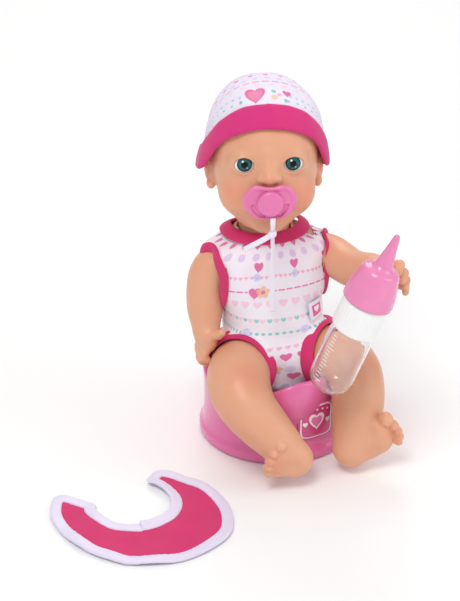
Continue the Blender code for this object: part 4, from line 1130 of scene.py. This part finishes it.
def arms():
    """The right arm hangs beside the hip and the left one holds the bottle."""
    look = limb_look("arm_vinyl", [(-43.5, -6.0, 60.0, 9.0, 0.25), (47.0, -60.0, 118.0, 9.0, 0.3)])

    def right_hand(grid, field):
        field = smin(field, ellipsoid(grid, PALM_RIGHT, (5.6, 7.6, 8.2)), 2.0)
        fingers = []
        for y, tip, size in ((-5.2, -10.1, 2.35), (-1.4, -13.7, 2.5), (2.4, -13.9, 2.45), (5.6, -10.5, 2.15)):
            path = ((-0.3, y * 0.9, -2.0), (-3.1, y, -6.3), (-3.4, y - 0.6, tip + 1.5), (-1.4, y - 1.2, tip))
            fingers.append((PALM_RIGHT + np.array(path), (size + 0.5, size + 0.2, size, size * 0.9)))
        field = digits(grid, field, fingers, 1.1)
        thumb = PALM_RIGHT + np.array(((2.0, -4.6, 4.4), (4.4, -8.2, 6.4), (5.4, -11.2, 8.8)))
        return digits(grid, field, [(thumb, (3.2, 2.9, 2.3))], 1.4)

    def left_hand(grid, field):
        field = smin(field, ellipsoid(grid, PALM_LEFT, (5.4, 6.6, 8.0)), 2.0)
        fingers = []
        for base, knuckle, tip, size in (
                ((45.2, -57.0, 124.2), (48.6, -61.0, 126.4), (45.6, -65.6, 124.4), 2.6),
                ((45.8, -57.5, 120.6), (51.0, -61.6, 121.4), (48.2, -66.2, 119.4), 2.55),
                ((45.8, -57.5, 117.0), (52.4, -61.4, 116.8), (50.2, -66.0, 114.8), 2.35),
                ((45.2, -57.0, 113.6), (52.6, -60.6, 112.6), (51.2, -64.6, 111.0), 2.1)):
            fingers.append(((base, knuckle, tip), (size + 0.5, size + 0.1, size * 0.94)))
        field = digits(grid, field, fingers, 1.0)
        thumb = ((41.0, -52.6, 123.4), (39.4, -57.0, 127.8), (38.8, -61.4, 128.8))
        return digits(grid, field, [(thumb, (3.4, 3.0, 2.4))], 1.5)

    limb("arm_right", ARM_RIGHT, ((-49.0, -20.0, 54.0),), right_hand, look)
    limb("arm_left", ARM_LEFT, ((54.0, -66.0, 110.0), (40.0, -62.0, 130.0)), left_hand, look)


def foot_form(heel, arch, ball, spread, toes, sizes):
    """Heel, arch and ball in one form with five toes in a fan, as the ends and the shape that limb takes.
    spread is the direction from little to big toe."""
    heel, arch, ball, spread = (np.asarray(p, float) for p in (heel, arch, ball, spread))
    spread = spread / np.linalg.norm(spread)

    def shape(grid, field):
        along = ball - heel
        along = along - (along @ spread) * spread
        along /= np.linalg.norm(along)
        turn = np.array((along, spread, np.cross(along, spread)))
        field = smin(field, ellipsoid(grid, heel, (9.6, 9.8, 8.6), turn), 3.0)
        field = smin(field, ellipsoid(grid, arch, (10.5, 9.6, 7.0), turn), 3.0)
        field = smin(field, ellipsoid(grid, ball, (6.8, 10.6, 6.0), turn), 3.0)
        # The hollow of the arch, on the sole.
        hollow = arch + np.array((0.0, -10.2, 0.0)) - 2.0 * spread
        field = smax(field, -ellipsoid(grid, hollow, (6.0, 6.0, 3.2), turn), 3.0)
        chains = []
        for toe, size in zip(np.array(toes), sizes):
            root = toe * 0.45 + ball * 0.55 + np.array((0, 1.5, 0))
            chains.append(((root, toe + np.array((0, 1.0, 0)), toe + np.array((0, -0.8, 0.2))), (size,) * 3))
        return digits(grid, field, chains, 0.7)
    return [heel, ball, *toes], shape


LEG_RIGHT = (
    (-20.0, -11.0, 50.8, 11.6), (-25.0, -15.5, 52.4, 15.8), (-29.2, -22.0, 53.0, 17.2),
    (-32.6, -30.0, 52.6, 17.3), (-34.2, -37.6, 50.6, 17.0), (-33.4, -45.0, 46.2, 15.9),
    (-30.2, -51.4, 40.8, 14.6), (-24.6, -57.0, 34.0, 13.2), (-18.8, -61.0, 27.2, 11.6),
    (-14.6, -63.6, 22.4, 10.2), (-11.4, -65.0, 18.6, 9.4))
LEG_LEFT = (
    (15.0, -11.0, 52.6, 11.6), (20.0, -15.5, 53.8, 14.6), (25.0, -22.0, 54.4, 16.4),
    (29.8, -30.0, 53.6, 16.2), (32.8, -38.0, 49.4, 15.8), (33.2, -44.8, 41.8, 14.8),
    (31.4, -50.2, 33.6, 14.2), (28.4, -54.6, 25.4, 12.6), (26.0, -57.4, 18.8, 10.8),
    (24.8, -59.0, 14.4, 10.0))


def legs():
    """Bent baby legs with the soles turned forward."""
    look = limb_look("leg_vinyl", [(-35.0, -50.0, 66.0, 15.0, 0.28), (35.0, -52.0, 62.0, 15.0, 0.25),
                                   (-24.0, -73.0, 22.0, 9.0, 0.18), (46.0, -71.0, 28.0, 9.0, 0.18)])
    toes = ((-20.8, -70.6, 30.4), (-25.0, -70.8, 25.9), (-26.9, -70.4, 21.4), (-27.7, -69.8, 17.2),
            (-27.4, -69.0, 13.0))
    foot = foot_form((-10.2, -66.0, 16.8), (-15.2, -66.8, 18.6), (-20.4, -67.8, 19.6), (0.30, 0.0, 0.95),
                     toes, (3.5, 2.7, 2.5, 2.35, 2.2))
    limb("leg_right", LEG_RIGHT, *foot, look)
    toes = ((41.6, -68.0, 34.6), (46.0, -68.8, 30.4), (48.4, -68.9, 26.6), (49.8, -68.6, 22.8),
            (49.6, -67.8, 19.0))
    foot = foot_form((24.8, -60.0, 13.6), (32.6, -62.8, 17.6), (39.8, -65.6, 23.2), (-0.22, 0.0, 0.97),
                     toes, (3.9, 2.8, 2.6, 2.45, 2.3))
    limb("leg_left", LEG_LEFT, *foot, look)


# ---------------------------------------------------------------- pacifier and its ribbon

def turned(name, profile, base, axis, sides=96, closed=False):
    """A profile of (radius, along) turned about an axis from base, in millimetres."""
    axis = np.asarray(axis, float) / np.linalg.norm(axis)
    side = np.cross(axis, (0.0, 0.0, 1.0)) if abs(axis[2]) < 0.95 else np.cross(axis, (0.0, 1.0, 0.0))
    side /= np.linalg.norm(side)
    other = np.cross(axis, side)
    turns = np.linspace(0, 2 * np.pi, sides, endpoint=False)
    out = [math.cos(t) * side + math.sin(t) * other for t in turns]
    rows = [[base + along * axis + radius * way for way in out] for radius, along in profile]
    radius = max(r for r, _ in profile)
    run = run_along(profile)
    run = np.append(run, run[-1] + 1)
    return sheet_grid(name, rows, closed_across=True, closed_along=closed, capped=not closed,
                      uv=lambda i, j: (2 * math.pi * radius * j / sides, run[i]))


def rounded(profile, bend=0.8, steps=5):
    """The profile with each inner corner replaced by an arc about bend long."""
    p = [np.asarray(q, float) for q in profile]
    out = [p[0]]
    for a, b, c in zip(p[:-2], p[1:-1], p[2:]):
        one = min(bend, 0.45 * np.linalg.norm(a - b))
        two = min(bend, 0.45 * np.linalg.norm(c - b))
        start, end = b + (a - b) / np.linalg.norm(a - b) * one, b + (c - b) / np.linalg.norm(c - b) * two
        for t in np.linspace(0, 1, steps):
            out.append((1 - t) ** 2 * start + 2 * t * (1 - t) * b + t ** 2 * end)
    out.append(p[-1])
    return [tuple(q) for q in out]


def heart_field(a, b, size):
    x, y = np.abs(a) * 2 / size, b * 2 / size
    return (np.sqrt(x ** 2 + (1.15 * y - 0.8 * np.sqrt(x) + 0.12) ** 2) - 1.0) * 0.4 * size


def pacifier(pink):
    """A bowed shield with two crescent hollows, and a button with a raised heart."""
    step = 0.3
    low = np.array((-16.0, -46.5, 15.0))
    grid = grid_of(low, (16.0, -35.0, 44.0), step)
    x, y, z = grid
    up = z - (MOUTH_HEIGHT - 0.5)
    # Outline: a soft bean, notched under the nose and narrower below.
    wide = 14.5 - 2.2 * np.clip(-up / 10.0, 0, 1) ** 1.5
    tall = np.where(up > 0, 11.4, 9.8)
    bean = ((np.abs(x) / wide) ** 2.35 + (np.abs(up) / tall) ** 2.35) ** (1 / 2.35)
    bean = (bean - 1.0) * 10.0
    notch = np.sqrt((x / 1.4) ** 2 + (up - 14.6) ** 2) - 5.6
    bean = smax(bean, -notch, 3.0)
    bow = 0.006 * x ** 2
    face = -40.4 + bow
    plate = smax(bean + 0.0 * y, np.abs(y - face) - 1.1, 1.3)
    # A raised rim round the edge.
    rim = np.sqrt((bean + 1.0) ** 2 + (y - (face - 0.7)) ** 2) - 0.85
    plate = smin(plate, rim, 0.8)
    for side in (-1, 1):
        ring = np.abs(np.sqrt(x ** 2 + (up - 0.8) ** 2) - 9.4) - 0.95
        half = np.maximum(ring, np.maximum(2.2 - side * x, np.maximum(up + 1.0, -up - 8.0)))
        plate = smax(plate, -np.maximum(half, y - face + 0.2), 0.5)
    wear(skin_mesh("pacifier_plate", plate, low, step), pink, "pacifier", ["pacifier_shield"],
         HEAD_FRAME)

    gap = np.sqrt(x ** 2 + (z - MOUTH_HEIGHT) ** 2)
    button = smax(gap - 7.0 + 0.0 * y, np.abs(y + 43.2) - 1.9, 1.2)
    dish = ellipsoid(grid, (0.0, -47.6, MOUTH_HEIGHT), (6.0, 3.1, 6.0))
    button = smax(button, -dish, 0.6)
    raised = np.maximum(heart_field(x, z - MOUTH_HEIGHT + 0.1, 8.4), np.abs(y + 44.4) - 0.75)
    button = smin(button, smax(raised, np.abs(y + 44.4) - 0.75, 0.4), 0.5)
    wear(skin_mesh("pacifier_knob", button, low, step), pink, "pacifier", ["pacifier_button"],
         HEAD_FRAME)


# In the head's frame.
RIBBON_EXIT = np.array((1.4, -43.2, 21.6))
KNOT = np.array((1.2, -43.6, 12.0))


def ribbon():
    """The satin ribbon from the button: through its knot and straight down, with the knot's short end."""
    satin = satin_look("ribbon_satin", (0.86, 0.82, 0.92), (0.74, 0.70, 0.82))
    flat = oval(1.5, 0.34, 16, 2.4)
    above = [(0, 0, -0.35), (0, -0.5, -3.2)]
    below = [(0.1, -0.2, 2.2), (0, -0.3, 0), (0.1, 0, -4), (0.3, 0.3, -12), (-0.1, 0.1, -20), (0.5, 0.5, -29),
             (0.2, 0.2, -38), (0.4, 0.4, -47)]
    line = smooth_path(from_head(np.vstack([RIBBON_EXIT + np.array(above), KNOT + np.array(below)])), 120)
    forward = HEAD_TURN @ np.array((0.0, -1.0, 0.0))
    sideways = HEAD_TURN @ np.array((1.0, 0.0, 0.0))
    share = np.linspace(0, 1, len(line))
    # The strip turns a little as it hangs, and is drawn together at the knot.
    turn = 0.5 * np.sin(5.0 * share) + 0.25
    out = np.cos(turn)[:, None] * forward + np.sin(turn)[:, None] * sideways
    drawn = 1.0 - 0.35 * np.exp(-((share - 0.17) / 0.035) ** 2)
    long = tube("ribbon_strip", line, flat, out, scale=drawn)
    wear(long, satin, "pacifier", ["pacifier_ribbon", "ribbon_long_tail"])

    aside = [(-1, -0.4, -0.4), (-4, -0.5, -2.4), (-8, -0.2, -4.9), (-12, 0.4, -7.3), (-15.2, 1.2, -9.6)]
    tail = smooth_path(from_head(KNOT + np.array(aside)), 40)
    short = tube("ribbon_end", tail, flat, np.tile(forward * 0.9 + np.array((0, 0, 0.4)), (40, 1)))
    wear(short, satin, "pacifier", ["ribbon_short_tail"])

    # The knot: two crossed turns of the strip round the hanging part.
    turns = np.linspace(0, 4 * np.pi, 90)
    loops = KNOT + np.stack([1.75 * np.cos(turns), 1.55 * np.sin(turns) - 0.2,
                             0.9 * np.sin(0.5 * turns) + 0.45 * np.cos(turns)], axis=1)
    outward = np.stack([np.cos(turns), np.sin(turns), 0 * turns], axis=1) @ HEAD_TURN.T
    knot = tube("ribbon_turns", from_head(loops), oval(1.15, 0.5, 14), outward)
    wear(knot, satin, "pacifier", ["ribbon_knot"])


# ---------------------------------------------------------------- bottle

def clear_look():
    """Clear plastic, moulded a little unevenly."""
    look = Look("clear_plastic", (0.97, 0.96, 0.96), 0.03, Transmission_Weight=0.96, IOR=1.22, Alpha=1.0,
                Coat_Weight=0.6, Coat_Roughness=0.02)
    place = look.place()
    look.paint(look.mix(look.noise(place, 0.05), (0.97, 0.95, 0.95), (0.99, 0.98, 0.98)))
    return look


BOTTLE_AXIS = (BOTTLE_TOP - BOTTLE_BASE) / np.linalg.norm(BOTTLE_TOP - BOTTLE_BASE)
BOTTLE_FOOT = BOTTLE_BASE + BOTTLE_RISE * BOTTLE_AXIS


def bottle():
    """The clear body and its marks, the white collar, and the pink cap with its long teat."""
    r = BOTTLE_RADIUS
    outer = rounded([(0.2, 0.0), (7.4, 0.3), (11.2, 3.6), (r, 8.6), (r, 36.6), (r - 1.6, 39.4),
                     (r - 2.0, 56.0)], 2.4, 7)
    inner = rounded([(r - 3.1, 56.0), (r - 2.9, 38.8), (r - 1.1, 36.2), (r - 1.1, 9.0), (10.2, 4.6),
                     (6.8, 1.5), (0.2, 1.2)], 2.4, 7)
    body = turned("bottle_shell", outer + inner, BOTTLE_FOOT, BOTTLE_AXIS)
    wear(body, clear_look(), "bottle", ["bottle_body"])

    ink = Look("mark_ink", (0.92, 0.90, 0.90), 0.5)
    ink.paint(ink.mix(ink.noise(ink.place(), 0.3), (0.86, 0.84, 0.84), (0.95, 0.94, 0.94)))
    wear(bottle_marks(), ink, "bottle")

    collar = rounded([(r - 1.6, 40.2), (r + 0.1, 40.2), (r + 0.5, 41.2), (r + 0.5, 58.0), (r - 0.1, 58.6),
                      (r - 1.6, 58.6)], 0.7, 4)
    ring = turned("bottle_ring", collar, BOTTLE_FOOT, BOTTLE_AXIS, 144, closed=True)
    wear(ring, white_ribs(), "bottle", ["bottle_collar"])

    low = 58.9   # the cap's rim, just clear of the collar
    outer = rounded([(r + 1.5, 0.0), (r + 1.7, 1.0), (r + 1.0, 8.0), (r - 0.7, 14.0), (10.6, 18.6),
                     (9.3, 20.2), (6.6, 21.0), (5.1, 22.8), (4.1, 27.0), (3.1, 32.0), (2.1, 38.0),
                     (1.4, 41.2), (0.15, 41.6)], 0.9, 5)
    inner = rounded([(0.15, 39.6), (1.0, 38.0), (1.9, 31.0), (3.9, 21.0), (7.8, 18.4), (r - 2.4, 12.6),
                     (r - 0.8, 7.0), (r + 0.3, 0.0)], 0.9, 5)
    lid = turned("bottle_lid", outer + inner, BOTTLE_FOOT + low * BOTTLE_AXIS, BOTTLE_AXIS, closed=True)
    wear(lid, plastic_look("cap_plastic", (0.84, 0.25, 0.49)), "bottle_cap", ["bottle_cap"])


def bottle_marks():
    """Graduation marks: raised bars on the wall, from the doll's right towards the front."""
    right = -np.cross(BOTTLE_AXIS, (0.0, -1.0, 0.0))
    right /= np.linalg.norm(right)
    front = np.cross(BOTTLE_AXIS, right)
    corners = ((-0.14, 0.02), (0.14, 0.02), (0.14, 0.22), (-0.14, 0.22))   # (along, out) from the wall
    steps = 7
    marks, faces = [], []
    for i in range(15):
        along = 8.6 + 2.0 * i
        start = len(marks)
        for turn in np.linspace(0.30, 0.30 + (0.36 if i % 5 == 0 else 0.22), steps):
            way = math.cos(turn) * right + math.sin(turn) * front
            marks += [BOTTLE_FOOT + (along + rise) * BOTTLE_AXIS + (BOTTLE_RADIUS + out) * way
                      for rise, out in corners]
        for k in range(start, start + 4 * (steps - 1), 4):
            faces += [(k + c, k + (c + 1) % 4, k + 4 + (c + 1) % 4, k + 4 + c) for c in range(4)]
        faces += [tuple(range(start, start + 4)), tuple(range(len(marks) - 4, len(marks)))]
    return mesh_object("bottle_marks", np.array(marks) * MM, faces, smooth=False)


def white_ribs():
    """White plastic with fine grip ribs round the ring."""
    look = Look("white_collar", (0.90, 0.90, 0.90), 0.3, Coat_Weight=0.3, Coat_Roughness=0.1)
    u = look.uv()[0]
    look.paint(look.mix(look.noise(look.place(), 0.08), (0.85, 0.85, 0.86), (0.93, 0.93, 0.93)))
    look.bump((u * 3.2).sine() * 0.5 + 0.5, 0.00018, 0.6)
    return look


# ---------------------------------------------------------------- potty

POTTY_FRAME = Matrix.Rotation(POTTY_YAW, 4, "Z")
POTTY_OUTER = np.array((
    (-1.0, 44.2), (0.0, 44.6), (1.2, 45.0), (5.2, 45.0), (7.0, 43.8), (9.5, 42.9), (22.0, 42.1), (36.0, 42.5),
    (48.0, 43.2), (52.0, 43.2)))
POTTY_INNER = np.array(((5.9, 22.0), (7.0, 30.5), (16.0, 35.3), (34.0, 37.9), (48.0, 38.5), (60.0, 38.9)))


def potty(pink):
    """Gloss potty: a flared foot, low sides for the thighs and a rounded pommel in front."""
    step = 0.7
    low = np.array((-47.0, -49.0, -2.0))
    grid = grid_of(low, (47.0, 47.0, 58.0), step)
    x, y, z = grid
    gap = np.sqrt(x ** 2 + y ** 2)
    outside = smax(gap - monotone(POTTY_OUTER[:, 0], POTTY_OUTER[:, 1], z), np.maximum(z - 50.0, -z), 1.6)
    outside = smin(outside, ellipsoid(grid, (-8.6, -38.4, 38.6), (14.0, 6.4, 12.0)), 6.0)
    bowl = smax(gap - monotone(POTTY_INNER[:, 0], POTTY_INNER[:, 1], np.maximum(z, 5.9)), 6.0 - z, 4.0)
    shell = smax(outside, -bowl, 1.8)
    saddle = 44.0 - np.sqrt((y + 8.0) ** 2 + (z - 81.0) ** 2) + 0.0 * x
    shell = smax(shell, saddle, 2.4)
    # Room for the thighs, whose places are in the doll's frame and not in the potty's.
    cos, sin = math.cos(POTTY_YAW), math.sin(POTTY_YAW)
    doll_grid = [cos * x - sin * y, sin * x + cos * y, z + 0.0 * x]
    for leg in (np.array(LEG_RIGHT), np.array(LEG_LEFT)):
        shell = smax(shell, -(chain(doll_grid, leg[:, :3], leg[:, 3], 1.0) - 0.8), 2.0)
    wear(skin_mesh("potty_body", blur(shell), low, step), pink, "potty", ["potty_shell"],
         POTTY_FRAME)


def badge():
    """A raised panel with a white outline and a white heart between two small ones."""
    rows, steps_x, steps_z = [], 26, 22
    half, height, edge_radius, rise = 11.4, 25.0, 42.95, 1.25
    for i in range(steps_z + 1):
        up = (i / steps_z - 0.5) * 2
        ring = []
        for j in range(steps_x + 1):
            across = (j / steps_x - 0.5) * 2
            # The square grid is pulled to a rounded outline.
            reach = (abs(across) ** 7 + abs(up) ** 7 + 1e-9) ** (1 / 7)
            shrink = max(abs(across), abs(up)) / reach
            x, z = across * shrink * half, up * shrink * half
            edge = max(abs(across), abs(up))
            radius = edge_radius + rise * (1 - edge ** 14)
            ring.append((x, -math.sqrt(radius ** 2 - x ** 2), height + z))
        rows.append(ring)
    span = np.array(rows)
    plate = sheet_grid("badge_panel", rows, uv=lambda i, j: (span[i, j, 0], span[i, j, 2] - height))
    thicken(plate, 0.5, -1.0)
    look = Look("badge_gloss", (0.74, 0.08, 0.33), 0.18, Coat_Weight=0.8, Coat_Roughness=0.05)
    u, v = look.uv()
    ground = look.mix(look.noise(look.place(), 0.05), (0.60, 0.05, 0.23), (0.68, 0.07, 0.28))
    body = ((u.absolute() / 10.6).power(6.0) + (v.absolute() / 10.6).power(6.0)).power(1 / 6.0)
    line = ((body - 0.93).absolute() - 0.035).inside(0.03)
    white = (0.90, 0.88, 0.90)
    ground = look.mix(line, ground, white)
    ground = look.stamp(ground, heart(u + 0.2, v + 0.8, 10.0), white)
    ground = look.stamp(ground, heart(u + 0.2, v + 0.8, 7.0), (0.82, 0.20, 0.46))
    for x, y in ((-7.0, 6.4), (-3.6, 7.2), (0.0, 7.4), (3.6, 7.2), (7.0, 6.4)):
        ground = look.stamp(ground, dot(u - x, v - y, 0.62), white, soft=0.25)
    for x in (-7.4, 7.4):
        ground = look.stamp(ground, heart(u - x, v + 1.2, 3.0), white, soft=0.3)
    look.paint(ground)
    wear(plate, look, "potty", ["potty_badge"], POTTY_FRAME)


# ---------------------------------------------------------------- bib

BIB_CENTRE = np.array((-104.0, -60.0))
# (degrees, reach) points of the bib's outer edge and of its neck opening, about BIB_CENTRE.
BIB_OUTER = ((-209, 41), (-190, 44), (-160, 45), (-132, 49), (-105, 56), (-75, 61), (-45, 62), (-20, 55),
             (5, 47), (35, 40), (60, 35), (70, 33))
BIB_INNER = ((52, 23.5), (20, 22), (-10, 22.5), (-45, 23), (-80, 21), (-110, 20), (-145, 18.5), (-180, 19),
             (-212, 22))
BIB_BORDER = 6.4


def outline_distance(px, py, loop):
    """Signed distance to a closed outline, negative inside."""
    best = np.full(px.shape, 1e9)
    inside = np.zeros(px.shape, bool)
    for (ax, ay), (bx, by) in zip(loop, np.roll(loop, -1, axis=0)):
        dx, dy = bx - ax, by - ay
        t = np.clip(((px - ax) * dx + (py - ay) * dy) / (dx * dx + dy * dy + 1e-12), 0, 1)
        best = np.minimum(best, (px - ax - t * dx) ** 2 + (py - ay - t * dy) ** 2)
        if ay != by:
            inside ^= ((ay > py) != (by > py)) & (px < (bx - ax) * (py - ay) / (by - ay) + ax)
    return np.where(inside, -1, 1) * np.sqrt(best)


def bib(satin):
    """A flat U of magenta jersey inside a broad satin border."""
    def edge(table):
        turn, reach = np.array(table).T
        turn = np.radians(turn)
        across, along = BIB_CENTRE[0] + reach * np.cos(turn), BIB_CENTRE[1] + reach * np.sin(turn)
        return smooth_path(np.stack([across, along, 0.0 * turn], axis=1), 60)
    loop = np.vstack([edge(BIB_OUTER), edge(BIB_INNER)])[:, :2]
    loop = smooth_path(np.column_stack([loop, np.zeros(len(loop))])[::4], 130, closed=True)[:, :2]
    step = 0.55
    low = np.array((-152.0, -125.0, -1.5))
    grid = grid_of(low, (-44.0, -20.0, 7.0), step)
    x, y, z = grid
    flat_x, flat_y = np.broadcast_arrays(x[:, :, 0], y[:, :, 0])
    distance = outline_distance(flat_x, flat_y, loop)
    wave = (0.9 + 0.5 * np.sin(flat_x * 0.11 + 0.8) * np.sin(flat_y * 0.09)
            + 0.35 * np.sin(flat_x * 0.23 - flat_y * 0.17) + 0.5)
    inner_reach = np.hypot(flat_x - BIB_CENTRE[0], flat_y - BIB_CENTRE[1])
    lift = 2.2 * np.exp(-((inner_reach - 21.0) / 5.0) ** 2) * (flat_x > BIB_CENTRE[0])
    middle = (np.clip(wave, 0.55, 4.0) + lift)[:, :, None]
    d = distance[:, :, None]
    panel = smax(d + BIB_BORDER - 0.4, np.abs(z - middle - 0.15) - 0.55, 0.3)
    across = np.clip((-d) / BIB_BORDER, 0, 1)
    puff = 0.62 + 0.55 * np.sqrt(np.clip(4 * across * (1 - across), 0, 1))
    pucker = 0.12 * np.sin(2.1 * (flat_x + flat_y))[:, :, None]
    border = smax(np.maximum(d, -d - BIB_BORDER), np.abs(z - middle - 0.35) - puff - pucker, 0.5)
    cloth = skin_mesh("bib_cloth", panel, low, step)
    hem = skin_mesh("bib_edging", border, low, step)
    look = jersey_look("bib_jersey", MAGENTA_DYE, tuple(0.8 * c for c in MAGENTA_DYE),
                       where=lambda x, y, z: (x, y))
    wear(cloth, look, "bib", ["bib_panel"])
    wear(hem, satin, "bib", ["bib_border"])
    area = float((distance < -BIB_BORDER + 0.4).sum()) * step * step
    width, length = float(np.ptp(loop[:, 0])), float(np.ptp(loop[:, 1]))
    share = min(0.99, max(0.31, area / (width * length)))
    share * width * length * MM * MM


# ---------------------------------------------------------------- everything

def main():
    studio()
    pink = plastic_look("pink_plastic", (0.80, 0.16, 0.40))
    shield = plastic_look("pacifier_plastic", (0.80, 0.19, 0.44), 0.3, 0.3)
    looks = {"white": plastic_look("white_plastic", (0.90, 0.90, 0.90)), "pink": pink,
             "soft": plastic_look("soft_plastic", (0.86, 0.84, 0.80), 0.5, 0.1),
             "steel": steel_look(), "board": board_look()}
    looks["skin"], _, colour, _ = skin_look("body_vinyl")
    looks["skin"].paint(colour)
    plain_cad(looks)
    ribbon()
    face()
    cap()
    pacifier(shield)
    trunk_skin(looks["skin"])
    romper()
    label()
    arms()
    legs()
    bottle()
    potty(pink)
    badge()
    bib(satin_look("bib_satin", where=lambda x, y, z: (x + y, x - y)))


main()
